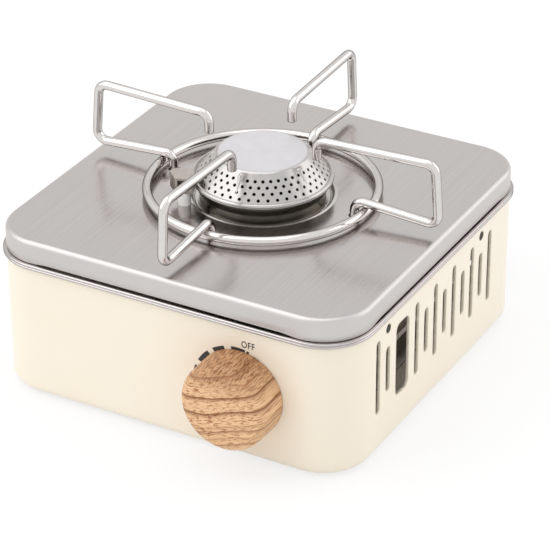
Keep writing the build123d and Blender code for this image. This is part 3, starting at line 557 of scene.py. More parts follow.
brim_rows = [(0.8, 0), (0.4, 0), (0.1, -0.06), (-0.2, -0.3)]
floor_rows = [(0.35, 0.45), (0.1, 0.1), (-0.25, 0)]
dip_profile = shifted(brim_rows, RECESS_RADII[1], lid_top)
dip_profile += shifted(floor_rows, RECESS_RADII[0], recess_floor)
dip_profile += [(SEAT_MIDDLE, recess_floor), (OPENING_RADIUS, recess_floor)]
dip = [circle_row(*pair) for pair in dip_profile]
blend = np.array([0.2, 0.4, 0.6, 0.8])[:, None, None]
top = (1 - blend) * edge[-1][None] + blend * dip[0][None]
lid_points = np.concatenate([skirt, edge, top, np.stack(dip)])
lid = piece("lid_sheet", grid(lid_points), "stove", ["lid"])
thicken(lid, LID_SHEET)

# %% [markdown]
# A low bead, pressed up from below, stiffens the recess's edge and shows as a light line round the burner.
# It is a small turned ring laid on the sheet.

# %% Bead round the recess
ROUND_STEPS = 128
bead_outline = [(1.3, -0.05), (0.9, 0.03), (0.5, 0.17), (0.15, 0.36), (-0.2, 0.45)]
bead_outline += [(-0.45, 0.36), (-0.55, 0.1), (-0.4, -0.5), (0.0, -0.5), (1.3, -0.05)]
bead_profile = shifted(bead_outline, RECESS_RADII[1], lid_top)
piece("recess_bead", turned(bead_profile, ROUND_STEPS), "stove")

# %% [markdown]
# The pot support stands with its four wire ends in small cups, and the igniter's ceramic comes up through a
# round hole. The five holes are cut from the finished sheet, and each cup is a small turned piece in its
# hole.

# %% Holes and foot cups
FOOT_RADIUS = 48.4
CUP_RADIUS = 2.7
CUP_DEPTH = 1.5
CUP_SHEET = 0.6
CUP_FLANGE = 0.32
DRAIN_RADIUS = 0.4
CUP_HOLE = CUP_RADIUS + 0.3
IGNITER_HOLE = 3.35
IGNITER_RADIUS = 38.1
IGNITER_ANGLE = 226.2
CUT_REACH = 3


def spot_at(radius, degrees):
    """Spot in plan at a distance from the burner's axis and an angle counted from the right."""
    turn = math.radians(degrees)
    return radius * math.cos(turn), radius * math.sin(turn) + burner_y


def moved(surface, spot):
    """A surface made about the burner's axis, moved to another spot in plan."""
    points, faces = surface
    return points + np.array([spot[0], spot[1] - burner_y, 0]), faces


igniter = spot_at(IGNITER_RADIUS, IGNITER_ANGLE)
feet = [(FOOT_RADIUS * x, FOOT_RADIUS * y + burner_y) for x, y in ((1, 0), (0, 1), (-1, 0), (0, -1))]
cuts = []
for spot, radius in [(foot, CUP_HOLE) for foot in feet] + [(igniter, IGNITER_HOLE)]:
    hole_wall = [(radius, lid_top - CUT_REACH), (radius, lid_top + CUT_REACH)]
    cuts.append(moved(turned(hole_wall, 48, True, True), spot))
settle(lid, cuts)
cup_floor = lid_top - CUP_DEPTH
cup_outside = CUP_RADIUS + CUP_SHEET
cup_profile = shifted([(CUP_FLANGE, -0.02), (0.12, -0.04), (0, -0.25)], CUP_RADIUS, lid_top)
cup_profile += [(CUP_RADIUS, cup_floor), (DRAIN_RADIUS, cup_floor), (DRAIN_RADIUS, cup_floor - CUP_SHEET)]
cup_profile += [(cup_outside, cup_floor - CUP_SHEET), (cup_outside, lid_top - LID_SHEET - 0.05)]
cup_profile += [(CUP_RADIUS + CUP_FLANGE, lid_top - 0.3), cup_profile[0]]
cup = turned(cup_profile, 40)
piece("foot_cups", joined([moved(cup, foot) for foot in feet]), "stove")

# %% [markdown]
# ## The pot support
# The support is bent from one thickness of wire. A wire is a circle carried along a route of straight runs
# and round bends that lie in one plane, so the circle's frame needs no twisting: one direction is the
# plane's own normal. The cut ends are slightly rounded.

# %% Wire helpers
WIRE_STEPS = 32
# Each circle of a cut end: distance from the cut, share of the full size
CUT_END = [(0.0, 0.72), (0.12, 0.9), (0.35, 0.98), (0.7, 1.0)]


def bent_route(corners, radius, steps=9):
    """Route through corner points with each inner corner replaced by a tangent arc of the given radius."""
    corners = [np.asarray(corner, float) for corner in corners]
    route = [corners[0]]
    for before, corner, after in zip(corners, corners[1:], corners[2:]):
        back = (before - corner) / np.linalg.norm(before - corner)
        ahead = (after - corner) / np.linalg.norm(after - corner)
        half = math.acos(np.clip(back @ ahead, -1, 1)) / 2
        centre = corner + (back + ahead) / np.linalg.norm(back + ahead) * radius / math.sin(half)
        start = corner + back * radius / math.tan(half) - centre
        end = corner + ahead * radius / math.tan(half) - centre
        sweep = math.acos(np.clip(start @ end / radius**2, -1, 1))
        share = np.linspace(0, 1, steps)[:, None]
        between = np.sin((1 - share) * sweep) * start + np.sin(share * sweep) * end
        route += list(centre + between / math.sin(sweep))
    return np.array(route + [corners[-1]])


def wire(route, radius):
    """Round wire along a route of radius and height pairs: at each point a circle across the route, and at
    both ends three smaller circles that round the cut."""
    ahead = np.gradient(route, axis=0)
    ahead /= np.linalg.norm(ahead, axis=1)[:, None]
    inwards, shares = np.array(CUT_END).T
    first = route[0] + ahead[0] * inwards[:, None]
    last = (route[-1] - ahead[-1] * inwards[:, None])[::-1]
    sizes = radius * np.concatenate([shares, np.ones(len(route) - 2), shares[::-1]])
    route = np.concatenate([first, route[1:-1], last])
    first_ahead, last_ahead = (np.repeat(end, len(CUT_END), 0) for end in (ahead[:1], ahead[-1:]))
    ahead = np.concatenate([first_ahead, ahead[1:-1], last_ahead])
    turn = np.linspace(0, 2 * math.pi, WIRE_STEPS, endpoint=False)
    across = np.stack([-ahead[:, 1], ahead[:, 0]], -1)
    flat = route[:, None] + across[:, None] * (sizes[:, None] * np.cos(turn))[..., None]
    aside = sizes[:, None] * np.sin(turn)
    return grid(np.stack([flat[..., 0], aside, flat[..., 1]], -1), True, True, True)


def spun(surface, degrees):
    """A surface in the plane of radius and height, turned about the burner's axis."""
    points, faces = surface
    c, s = math.cos(math.radians(degrees)), math.sin(math.radians(degrees))
    x, y, z = points.T
    return np.stack([c * x - s * y, s * x + c * y + burner_y, z], -1), faces


# %% [markdown]
# Each arm is one loop of wire: it starts over the burner, runs out along the top, comes down outside the
# ring, runs back in over the ring, where it is welded, and ends in its cup. All four are the same loop,
# turned by quarters. The ring is a circle of wire turned about the burner's axis.

# %% Arms and ring
WIRE_RADIUS = 2.2
WELD_GAP = 0.02
BEND_RADIUS = 5.0
ARM_INNER, ARM_OUTER, ARM_LOW = 28.6, 89.0, 91.4
ARM_RISE = 33.9
ARM_CLIMB = 2.0
TIP_DROP = 9.7
LOW_FALL = 2.6
ring_radius = (ring_high[0] - ring_low[0]) / 2 - WIRE_RADIUS
ring_height = (ring_low[2] + ring_high[2]) / 2
arm_top = lid_top + ARM_RISE
arm_foot = span("pot_arm_right")[0][2]
low_slope = LOW_FALL / (ARM_LOW - FOOT_RADIUS)
weld_height = ring_height + (2 * WIRE_RADIUS + WELD_GAP) * math.hypot(1, low_slope)
hook = weld_height + low_slope * (ring_radius - FOOT_RADIUS)
arm_corners = [(ARM_INNER, arm_top - TIP_DROP), (ARM_INNER, arm_top), (ARM_OUTER, arm_top + ARM_CLIMB)]
arm_corners += [(ARM_LOW, hook - LOW_FALL), (FOOT_RADIUS, hook), (FOOT_RADIUS, arm_foot)]
arm = wire(bent_route(arm_corners, BEND_RADIUS), WIRE_RADIUS)
for name, degrees in (("right", 0), ("back", 90), ("left", 180), ("front", 270)):
    piece("arm_wire_" + name, spun(arm, degrees), "pot_support", ["pot_arm_" + name])
ring_profile = arc((ring_radius, ring_height), WIRE_RADIUS, 0, 360, WIRE_STEPS)
piece("ring_wire", turned(ring_profile, 160), "pot_support", ["pot_ring"])

# %% [markdown]
# ## The burner cap
# The cap is a pressed cone with four rows of punched holes under a plain disc. The holes could be painted
# on, but real ones show their dark inside from every side. Each hole gets a cell of the cone: the cell's
# border is walked in step with the hole's edge, as on the tin's walls, and the flat result is laid on the
# cone. Rows are staggered by half a cell, and the cells share their border points.

# %% Cone with punched holes
DISC_RADIUS = 22.0
SHOULDER_REACH = 0.25
CONE_FOOT = 31.8
FOOT_MARGIN = 0.1
HOLE_ROWS = 4
HOLES_ROUND = 43
HOLE_START = math.radians(6.5)
HOLE_RADIUS = 0.7
HOLE_FLARE = 0.1
HOLE_SINK = 0.12
FIRST_ROW = DISC_RADIUS + 2.6
ROW_STEP = (CONE_FOOT - 1.25 - FIRST_ROW) / (HOLE_ROWS - 1)
CELL_ACROSS, CELL_UP = 8, 6
cap_low, cap_high = span("burner_cap")
disc_top = cap_high[2]
lip_height = cap_low[2]
cone_top = disc_top - 0.45
cone_low = lip_height + 1.9
slope_length = math.hypot(CONE_FOOT - DISC_RADIUS, cone_top - cone_low)
slope_out = (CONE_FOOT - DISC_RADIUS) / slope_length
slope_down = (cone_top - cone_low) / slope_length


def cone_height(radius):
    """Height of the cone's face at a radius."""
    return cone_top - (radius - DISC_RADIUS) * slope_down / slope_out


def on_cone(turn, radius, lift=0.0):
    """Point of the cone at an angle and radius, lifted along the cone's normal."""
    turn, radius, lift = np.broadcast_arrays(turn, radius, lift)
    out = radius + lift * slope_down
    height = cone_height(radius) + lift * slope_out
    return np.stack([out * np.cos(turn), out * np.sin(turn) + burner_y, height], -1)


half_turn = math.pi / HOLES_ROUND
flared = HOLE_RADIUS + HOLE_FLARE
sunk = np.array([0, 0, 0, 0, -HOLE_SINK])[:, None]
cap_surfaces = []
for row in range(HOLE_ROWS):
    radius = FIRST_ROW + row * ROW_STEP
    across = np.linspace(-half_turn, half_turn, CELL_ACROSS + 1) * radius
    up = np.linspace(-ROW_STEP / 2, ROW_STEP / 2, CELL_UP + 1) / slope_out
    face = holed_panel(across, up, (0, 0), flared, flared, flared)
    inside = holed_panel(across, up, (0, 0), HOLE_RADIUS, HOLE_RADIUS, HOLE_RADIUS)[-1:]
    punched = np.concatenate([face, inside])
    for number in range(HOLES_ROUND):
        middle = HOLE_START + 2 * half_turn * (number + 0.5 * (row % 2))
        cell = on_cone(middle + punched[..., 0] / radius, radius + punched[..., 1] * slope_out, sunk)
        cap_surfaces.append(grid(cell))
print("punched holes:", len(cap_surfaces))

# %% [markdown]
# Plain bands close the cone above and below the holes. The disc on top is slightly dished, with a rounded
# shoulder; at the foot the sheet is rolled outwards into a bright rim over the bowl's lip. Disc and rim are
# turned profiles that start on the cone's last rows.

# %% Plain bands, disc and rolled rim
CAP_SHEET = 0.6
ROLL_RADIUS = 1.3
roll_middle = (32.35, lip_height + 1.15)
cap_steps = HOLES_ROUND * CELL_ACROSS
lattice = HOLE_START + np.linspace(0, 2 * math.pi, cap_steps, endpoint=False)
upper_band = np.linspace(DISC_RADIUS + SHOULDER_REACH, FIRST_ROW - ROW_STEP / 2, 5)
lower_band = np.array([FIRST_ROW + (HOLE_ROWS - 0.5) * ROW_STEP, CONE_FOOT - FOOT_MARGIN])
for radii in (upper_band, lower_band):
    cap_surfaces.append(grid(on_cone(lattice[None], radii[:, None])))
edge_steps = [(-2.4, 0.0), (-1.4, -0.01), (-0.8, -0.08), (-0.35, -0.23), (0.0, -0.48)]
shoulder = shifted([(0.01, -0.25), (9.0, -0.22), (17.0, -0.1)], 0, disc_top)
shoulder += shifted(edge_steps, DISC_RADIUS, disc_top)
shoulder += [(DISC_RADIUS + SHOULDER_REACH, cone_top - SHOULDER_REACH * slope_down / slope_out)]
cap_surfaces.append(turned(shoulder, cap_steps, first_cap=True, start=HOLE_START))
rolled = [(CONE_FOOT - FOOT_MARGIN, cone_height(CONE_FOOT - FOOT_MARGIN)), (31.95, cone_low + 0.1)]
rolled += arc(roll_middle, ROLL_RADIUS, 100, -80, 12) + [(31.9, lip_height)]
cap_surfaces.append(turned(rolled, cap_steps, start=HOLE_START))
cap = piece("burner_cone", joined(cap_surfaces), "stove", ["burner_cap"])
thicken(cap, CAP_SHEET)

# %% [markdown]
# Five teardrop ribs stiffen the cone. Each is a low bump: full near the disc's edge and fading to a point
# down the slope, with a half-round section. Width and height are functions of the place along the rib and
# beside its middle.

# %% Ribs
RIB_COUNT = 5
RIB_START = 58.0
RIB_DROP = 0.9
RIB_LENGTH = 9.4
RIB_HALF_WIDTH = 1.55
RIB_HEIGHT = 0.75
RIB_SINK = 0.06
RIB_SHEET = 0.4
HEAD_SHARE = 0.16
along = np.linspace(0, 1, 25)[:, None] ** 1.5
aside = np.linspace(-1, 1, 15)[None]
swell = np.sqrt(np.clip(1 - (np.clip(HEAD_SHARE - along, 0, 1) / HEAD_SHARE) ** 2, 0, 1))
section = np.clip(1 - aside**2, 0, 1) ** 1.2
rib_width = RIB_HALF_WIDTH * (0.25 + 0.75 * swell) * (1 - 0.75 * along)
rib_height = RIB_HEIGHT * swell * (1 - along) ** 0.9 * section - RIB_SINK
rib_radius = DISC_RADIUS + (RIB_DROP + along * RIB_LENGTH) * slope_out + 0 * aside
ribs = []
for turn in np.radians(RIB_START + 360 / RIB_COUNT * np.arange(RIB_COUNT)):
    ribs.append(grid(on_cone(turn + rib_width * aside / rib_radius, rib_radius, rib_height), False))
rib_piece = piece("burner_ribs", joined(ribs), "stove")
thicken(rib_piece, RIB_SHEET)

# %% [markdown]
# ## The bowl, its seat and the rivets
# Under the cap stands a cup with an even wall that flares to its lip. It rests by a shoulder on a flat ring
# with a rounded edge. Both are turned profiles of radius and height, with heights counted from the seat's
# face or from the lip.

# %% Bowl and seat ring
seat_low, seat_top = (corner[2] for corner in span("burner_seat_ring"))
foot_outline = [(27.4, -1.2), (28.2, -1.2), (28.2, 0.01), (29.6, 0.01), (29.75, 0.2)]
wall_outline = [(29.7, 1.0), (29.75, 2.6), (30.25, 4.2), (31.1, 6.2)]
lip_outline = [(31.7, -0.9), (32.2, -0.3), (32.3, -0.1), (32.3, 0.0), (31.0, 0.0)]
bowl_profile = [(27.2, lip_height - 9)] + shifted(foot_outline + wall_outline, 0, seat_top)
bowl_profile += shifted(lip_outline, 0, lip_height) + [(28.0, seat_top + 1.4), bowl_profile[0]]
piece("burner_cup", turned(bowl_profile, ROUND_STEPS), "stove")
seat_profile = [(28.5, seat_low), (28.5, seat_top - 0.15), (28.65, seat_top), (30.6, seat_top)]
seat_profile += arc((31.6, seat_top - 0.5), 0.5, 90, 0, 7)
seat_profile += [(32.1, seat_low), (28.5, seat_low)]
piece("seat_ring_sheet", turned(seat_profile, ROUND_STEPS), "stove", ["burner_seat_ring"])

# %% [markdown]
# Three rivets with low domed heads hold the seat ring to the lid. One rivet is turned about the burner's
# axis, and copies of it are moved out to equal angles.

# %% Rivets
RIVET_COUNT = 3
RIVET_START = 8
RIVET_CIRCLE = 30.85
dome_outline = [(0.8, 0.0), (0.95, 0.02), (0.9, 0.18), (0.65, 0.3), (0.3, 0.35)]
rivet_profile = [(0.8, span("burner_rivets")[0][2])] + shifted(dome_outline, 0, seat_top)
rivet = turned(rivet_profile, 24, True, True)
rivet_angles = RIVET_START + 360 / RIVET_COUNT * np.arange(RIVET_COUNT)
rivets = joined([moved(rivet, spot_at(RIVET_CIRCLE, degrees)) for degrees in rivet_angles])
piece("rivet_heads", rivets, "stove", ["burner_rivets"])

# %% [markdown]
# ## The spark igniter
# A white glazed tube carries a small folded hood over the spark wire. The tube is turned; the hood and the
# wire keep their solids, with the hood's cut edges softened on a copy whose doubled points are merged.

# %% Ceramic and hood
TUBE_RISE = 6.6
NECK_RISE = 2.6
WIRE_BORE = 0.65
HOOD_EDGE = 0.15
tube_top = lid_top + TUBE_RISE
tube_low = span("ceramic_insulator")[0][2]
neck_outline = [(WIRE_BORE, NECK_RISE), (1.6, NECK_RISE), (1.8, 2.4), (1.8, 0.02)]
collar_outline = [(2.7, 0), (3.0, -0.15), (3.1, -0.45)]
tube_profile = shifted(neck_outline + collar_outline, 0, tube_top)
tube_profile += [(3.1, tube_low + 0.3), (2.8, tube_low), (WIRE_BORE, tube_low), tube_profile[0]]
tube = moved(turned(tube_profile, 40), igniter)
piece("ceramic_tube", tube, "stove", ["ceramic_insulator"])


def merged_copy(node, name, body):
    """A copy of a solid's mesh with its doubled points merged and its flat faces whole again."""
    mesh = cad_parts[node].data.copy()
    mesh.name = name
    shell = bmesh.new()
    shell.from_mesh(mesh)
    bmesh.ops.remove_doubles(shell, verts=shell.verts, dist=MERGE_DISTANCE)
    bmesh.ops.dissolve_limit(shell, angle_limit=math.radians(0.5), verts=shell.verts, edges=shell.edges)
    shell.to_mesh(mesh)
    shell.free()
    return fitted(in_scene(name, mesh), body, [node])


hood = merged_copy("igniter_hood", "igniter_shield", "stove")
soften(hood, HOOD_EDGE)

# %% [markdown]
# ## The knob
# The knob is a turned form with a full round front edge and sides that widen a little towards the wall,
# where its back edge nearly touches the paint. It is turned about the gas line's axis, so the same profile
# rule works with depth in place of height.

# %% Knob
FRONT_EDGE = 4.9
WALL_GAP, BACK_REACH, BACK_EDGE = 0.2, 0.2, 0.3
HOLLOW_RADIUS, HOLLOW_DEPTH = 17.7, 1.3
BORE_RADIUS, BORE_DEPTH = 4.1, 10.2
PIN_HOLE = 0.5
knob_radius = (knob_high[0] - knob_low[0]) / 2
knob_front, knob_back = knob_low[1], knob_high[1]
back_radius = knob_radius + BACK_REACH - BACK_EDGE
back_depth = front_wall - WALL_GAP


def turned_front(profile, steps):
    """Surface of revolution about the gas line's axis: radius and depth pairs."""
    x, z, y = circled(profile, steps)
    return grid(np.stack([gas_x + x, y, gas_z + z], -1), True, True, True)


knob_profile = [(PIN_HOLE, knob_back - BORE_DEPTH), (BORE_RADIUS, knob_back - BORE_DEPTH)]
knob_profile += [(BORE_RADIUS, knob_back - HOLLOW_DEPTH), (HOLLOW_RADIUS, knob_back - HOLLOW_DEPTH)]
knob_profile += [(HOLLOW_RADIUS, back_depth), (back_radius, back_depth)]
knob_profile += arc((back_radius, back_depth - BACK_EDGE), BACK_EDGE, 90, 0, 4)
knob_profile += [(knob_radius + 0.15, knob_back - 5), (knob_radius, knob_front + FRONT_EDGE)]
knob_profile += arc((knob_radius - FRONT_EDGE, knob_front + FRONT_EDGE), FRONT_EDGE, 0, -90, 14)[1:]
knob_profile += [(radius, knob_front) for radius in (12, 8, 4, PIN_HOLE)]
piece("knob_turning", turned_front(knob_profile, 112), "knob", ["knob"])

# %% [markdown]
# ## The printed scale
# The front wall carries a plain printed scale: blocks on an arc round the knob that grow towards the open
# end. Print has almost no thickness, so each block is a very thin closed layer on the paint.

# %% Scale
PRINT = 0.06
PRINT_BACK = 0.01
SCALE_INNER = knob_radius - 0.4
SCALE_START = 78.0
SCALE_THIN, SCALE_GROWTH = 1.35, 1.9 / 85
BLOCK_POINTS = 13
scale_blocks = [(78, 81.3), (83.4, 101.7), (111.2, 127.3), (135.2, 153.8), (161.6, 180)]
block_section = [(0, PRINT_BACK), (1, PRINT_BACK), (1, PRINT), (0, PRINT), (0, PRINT_BACK)]


def scale_block(start, end):
    """Ring sector whose thickness grows evenly with the angle, laid on the front wall."""
    degrees = np.linspace(start, end, BLOCK_POINTS)
    thickness = SCALE_THIN + SCALE_GROWTH * (degrees - SCALE_START)
    turn = np.radians(degrees)
    rows = []
    for reach, lift in block_section:
        radius = SCALE_INNER + reach * thickness
        x, z = gas_x + radius * np.cos(turn), gas_z + radius * np.sin(turn)
        rows.append(np.stack([x, np.full(BLOCK_POINTS, front_wall - lift), z], -1))
    return grid(np.stack(rows), False)


piece("printed_scale", joined([scale_block(*block) for block in scale_blocks]), "stove")

# %% [markdown]
# The word OFF over the scale is a text object with a trace of thickness, made a mesh first. Its points are
# then stretched to the printed width and laid on the wall.

# %% Word
WORD_LEFT, WORD_RIGHT, WORD_LINE = 41.1, 47.7, underside + 58.1
WORD_LIFT = 0.035
letters = bpy.data.curves.new("printed_off", "FONT")
letters.body = "OFF"
letters.size = 4.7 * MM
letters.space_character = 1.12
letters.extrude = PRINT / 2 * MM
letters.offset = 0.05 * MM
writing = in_scene("printed_off_curve", letters)
word_mesh = final_mesh(writing)
bpy.data.objects.remove(writing)
flat = np.zeros(len(word_mesh.vertices) * 3, np.float32)
word_mesh.vertices.foreach_get("co", flat)
x, y, z = (flat.reshape(-1, 3) * METRE).T
x = WORD_LEFT + (x - x.min()) * (WORD_RIGHT - WORD_LEFT) / (x.max() - x.min())
laid = np.stack([x, front_wall - WORD_LIFT - z, WORD_LINE + y], -1)
word_mesh.vertices.foreach_set("co", (laid * MM).astype(np.float32).ravel())
word_mesh.update()
word = in_scene("printed_off", word_mesh)
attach(word, "stove")
print(word.name, len(word_mesh.polygons), "faces")

# %% [markdown]
# ## Finishes
# Each finish is a small node tree on Object coordinates, which are the stove's own metres here, so a
# pattern keeps its real scale. Short helpers add a node, set its plain values and join it to others. Every
# finish is kept by name until the pieces are dressed.

# %% Finish helper
finishes = {}


def finish(name, color, metallic, roughness, **values):
    """New material with a principled shader and its constant values set on the sockets."""
    material = bpy.data.materials.new(name)
    material.use_nodes = True
    finishes[name] = material
    tree = material.node_tree
    shader = tree.nodes["Principled BSDF"]
    shader.inputs["Base Color"].default_value = (*color, 1)
    shader.inputs["Metallic"].default_value = metallic
    shader.inputs["Roughness"].default_value = roughness
    for key, value in values.items():
        shader.inputs[key.replace("_", " ")].default_value = value
    return tree, shader


def add(tree, kind, links=(), **values):
    """Adds a node, sets its sockets by name and joins other outputs to its inputs."""
    made = tree.nodes.new("ShaderNode" + kind)
    for key, value in values.items():
        made.inputs[key.replace("_", " ")].default_value = value
    for socket, output in links:
        tree.links.new(output, made.inputs[socket])
    return made


# %% [markdown]
# Patterns start from a place, which is scaled, and a noise there. A range node moves the noise to a tone, a
# gloss or a relief.

# %% Pattern helpers
COLOR_SOCKETS, COLOR_RESULT = (6, 7), 2


def place(tree, scale=(1, 1, 1), shift=(0, 0, 0)):
    """Object coordinates, scaled and shifted."""
    where = tree.nodes.new("ShaderNodeTexCoord").outputs["Object"]
    return add(tree, "Mapping", [("Vector", where)], Scale=scale, Location=shift).outputs[0]


def noise(tree, vector, scale, detail=2.0, roughness=0.5):
    """Noise value at a vector."""
    made = add(tree, "TexNoise", [("Vector", vector)], Scale=scale, Detail=detail, Roughness=roughness)
    return made.outputs[0]


def ramp(tree, value, stops):
    """Colours along a value: position and colour pairs."""
    made = add(tree, "ValToRGB", [("Fac", value)])
    elements = made.color_ramp.elements
    while len(elements) < len(stops):
        elements.new(0.5)
    for element, (position, color) in zip(elements, stops):
        element.position = position
        element.color = (*color, 1)
    return made.outputs[0]


def spread(tree, value, low, high, start=0.3, end=0.7):
    """A value's range moved to another range."""
    made = add(tree, "MapRange", [("Value", value)])
    for socket, number in (("From Min", start), ("From Max", end), ("To Min", low), ("To Max", high)):
        made.inputs[socket].default_value = number
    return made.outputs[0]


def bump(tree, shader, height, distance, strength):
    """Fine relief on the shader's normal, in metres."""
    made = add(tree, "Bump", [("Height", height)], Distance=distance, Strength=strength)
    tree.links.new(made.outputs[0], shader.inputs["Normal"])


def sums(tree, operation, *terms):
    """Arithmetic of outputs and plain numbers."""
    made = tree.nodes.new("ShaderNodeMath")
    made.operation = operation
    for socket, term in zip(made.inputs, terms):
        if isinstance(term, (int, float)):
            socket.default_value = term
        else:
            tree.links.new(term, socket)
    return made.outputs[0]


def mixed(tree, factor, first, second):
    """Two colours or colour outputs, mixed by a factor."""
    made = tree.nodes.new("ShaderNodeMix")
    made.data_type = "RGBA"
    tree.links.new(factor, made.inputs[0])
    for socket, source in zip(COLOR_SOCKETS, (first, second)):
        if isinstance(source, tuple):
            made.inputs[socket].default_value = (*source, 1)
        else:
            tree.links.new(source, made.inputs[socket])
    return made.outputs[COLOR_RESULT]


# %% [markdown]
# ### Cream enamel
# Baked enamel is nearly even in colour, with a soft gloss and a faint orange peel. The colour drifts a
# little from place to place, and a fine noise lifts the surface by a few thousandths of a millimetre.

# %% Cream enamel
tree, shader = finish("cream_enamel", (0.90, 0.82, 0.69), 0.0, 0.38, Coat_Weight=0.12, Coat_Roughness=0.25)
drift = spread(tree, noise(tree, place(tree), 14.0), 0, 1)
cream = mixed(tree, drift, (0.905, 0.828, 0.70), (0.89, 0.808, 0.672))
tree.links.new(cream, shader.inputs["Base Color"])
bump(tree, shader, noise(tree, place(tree), 900.0, 1.0), 2e-5, 0.35)
tree.links.new(spread(tree, noise(tree, place(tree), 60.0), 0.34, 0.42), shader.inputs["Roughness"])
print("cream enamel:", len(tree.nodes), "nodes")

# %% [markdown]
# ### Brushed and polished steel
# Brushing leaves fine lines in one direction, so the noise is squeezed across the lines and stretched along
# them. The lines change the tone, the gloss and the relief together. Polished pieces keep only a trace of
# that. An edge tint darkens round pieces towards their outlines: painted shade, a dark reflection that the
# white room does not give.

# %% Steels
RELIEF_STRENGTH = 0.5


def patterned(tree, shader, value, color, contrast, roughness, swing, depth):
    """One noise drives three things: the tone, by a share of the colour to either side, the gloss, by a
    swing to either side, and the relief, by a depth."""
    tones = [tuple(min(1.0, c * (1 + sign * contrast)) for c in color) for sign in (-1, 1)]
    tree.links.new(mixed(tree, spread(tree, value, 0, 1), *tones), shader.inputs["Base Color"])
    tree.links.new(spread(tree, value, roughness - swing, roughness + swing), shader.inputs["Roughness"])
    bump(tree, shader, value, depth, RELIEF_STRENGTH)


def brushed(name, color, roughness, squeeze, depth, contrast, edge=1.0):
    """Brushed metal: noise squeezed by three factors drives tone, gloss and relief. The edge factor dims
    the metal where it is seen at a slant: a painted dark reflection at the outlines."""
    painted_edge_shade = (edge, 0.97 * edge, 0.94 * edge, 1)
    tree, shader = finish(name, color, 1.0, roughness, Specular_Tint=painted_edge_shade)
    lines = noise(tree, place(tree, squeeze), 1.0, 3.0, 0.6)
    patterned(tree, shader, lines, color, contrast, roughness, 0.03, depth)
    return tree, shader


# The last number is the edge factor: below one it paints dark reflections along the outlines.
brushed("polished_rim", (0.55, 0.52, 0.51), 0.20, (300, 300, 60), 1e-6, 0.04, 0.3)
brushed("polished_wire", (0.70, 0.67, 0.655), 0.10, (420, 420, 420), 5e-7, 0.03, 0.3)
# The burner cup's near-black tone is painted shade for the cup in the cap's shadow.
brushed("burner_cup_painted_shade", (0.155, 0.143, 0.126), 0.20, (60, 60, 300), 5e-7, 0.06, 0.5)
brushed("seat_sheet", (0.64, 0.62, 0.60), 0.20, (300, 300, 300), 1e-6, 0.04, 0.5)
brushed("hood_sheet", (0.60, 0.555, 0.51), 0.32, (300, 300, 120), 2e-6, 0.05, 0.5)
# The spring catches are blackened steel, made near black as painted shade so the catch holes read as dark
# openings.
brushed("spring_sheet_painted_shade", (0.045, 0.042, 0.04), 0.45, (700, 700, 200), 6e-6, 0.12)
brushed("zinc_sheet", (0.38, 0.36, 0.335), 0.42, (160, 160, 160), 1e-5, 0.16)
brushed("cast_alloy", (0.44, 0.415, 0.385), 0.48, (700, 700, 700), 3e-5, 0.12)
brushed("turned_brass", (0.62, 0.45, 0.18), 0.28, (600, 2400, 600), 6e-6, 0.10)
print("finishes so far:", sorted(finishes))

# %% [markdown]
# The lid is brushed along its depth. Its skirt is painted lighter than the top, a painted reflection that
# the even white surround does not give, and the bent edge between them is duller. The height chooses both.

# %% Lid steel
PAINTED_SKIRT_SHEEN = (0.63, 0.61, 0.60)
BENT_DULLNESS = 0.2


def fed_by(shader, socket):
    """The output that feeds a shader's socket."""
    return shader.inputs[socket].links[0].from_socket


tree, shader = brushed("brushed_stainless", (0.52, 0.497, 0.492), 0.20, (1500, 12, 700), 2e-6, 0.04)
height = add(tree, "SeparateXYZ", [(0, place(tree, (METRE, METRE, METRE)))]).outputs[2]
# Painted reflection: below the top's edge the skirt gets a lighter tone than the top.
painted_skirt_sheen = spread(tree, height, 1, 0, lid_top - 1.6, lid_top - 0.05)
bent = spread(tree, height, 1, 0, lid_top - 0.12, lid_top - 0.01)
lid_tone = mixed(tree, painted_skirt_sheen, fed_by(shader, "Base Color"), PAINTED_SKIRT_SHEEN)
lid_gloss = sums(tree, "MULTIPLY_ADD", bent, BENT_DULLNESS, fed_by(shader, "Roughness"))
tree.links.new(lid_tone, shader.inputs["Base Color"])
tree.links.new(lid_gloss, shader.inputs["Roughness"])
print("lid steel:", len(tree.nodes), "nodes")

# %% [markdown]
# The burner's cap is polished on the cone and satin on the disc, with a cloudy tone there. The distance
# from the burner's axis chooses between the two.

# %% Cap steel
SATIN_DULLNESS = 0.27
tree, shader = brushed("burner_polish", (0.49, 0.475, 0.465), 0.25, (500, 500, 120), 2e-6, 0.03)
from_axis = add(tree, "VectorMath", [(0, place(tree, (METRE, METRE, 0), (0, -burner_y, 0)))])
from_axis.operation = "LENGTH"
satin = spread(tree, from_axis.outputs["Value"], 1, 0, DISC_RADIUS - 1.6, DISC_RADIUS - 0.5)
cloud = spread(tree, noise(tree, place(tree), 160.0), 0, 1)
disc_tone = mixed(tree, cloud, (0.655, 0.645, 0.665), (0.69, 0.68, 0.70))
cap_tone = mixed(tree, satin, fed_by(shader, "Base Color"), disc_tone)
cap_gloss = sums(tree, "MULTIPLY_ADD", satin, SATIN_DULLNESS, fed_by(shader, "Roughness"))
tree.links.new(cap_tone, shader.inputs["Base Color"])
tree.links.new(cap_gloss, shader.inputs["Roughness"])
print("cap steel:", len(tree.nodes), "nodes")

# %% [markdown]
# ### Wood grain
# The knob's skin is a light oak picture pressed over the form: growth lines across the face that run
# straight back along the sides. A line lies where one level is reached: the height on the face less a share
# of the width, with a sag on the left and a slow sway and a fine ripple from noise. Two strong lines and
# some weak ones are stops of a ramp along that level. Each line fades in from below and ends sharply above.

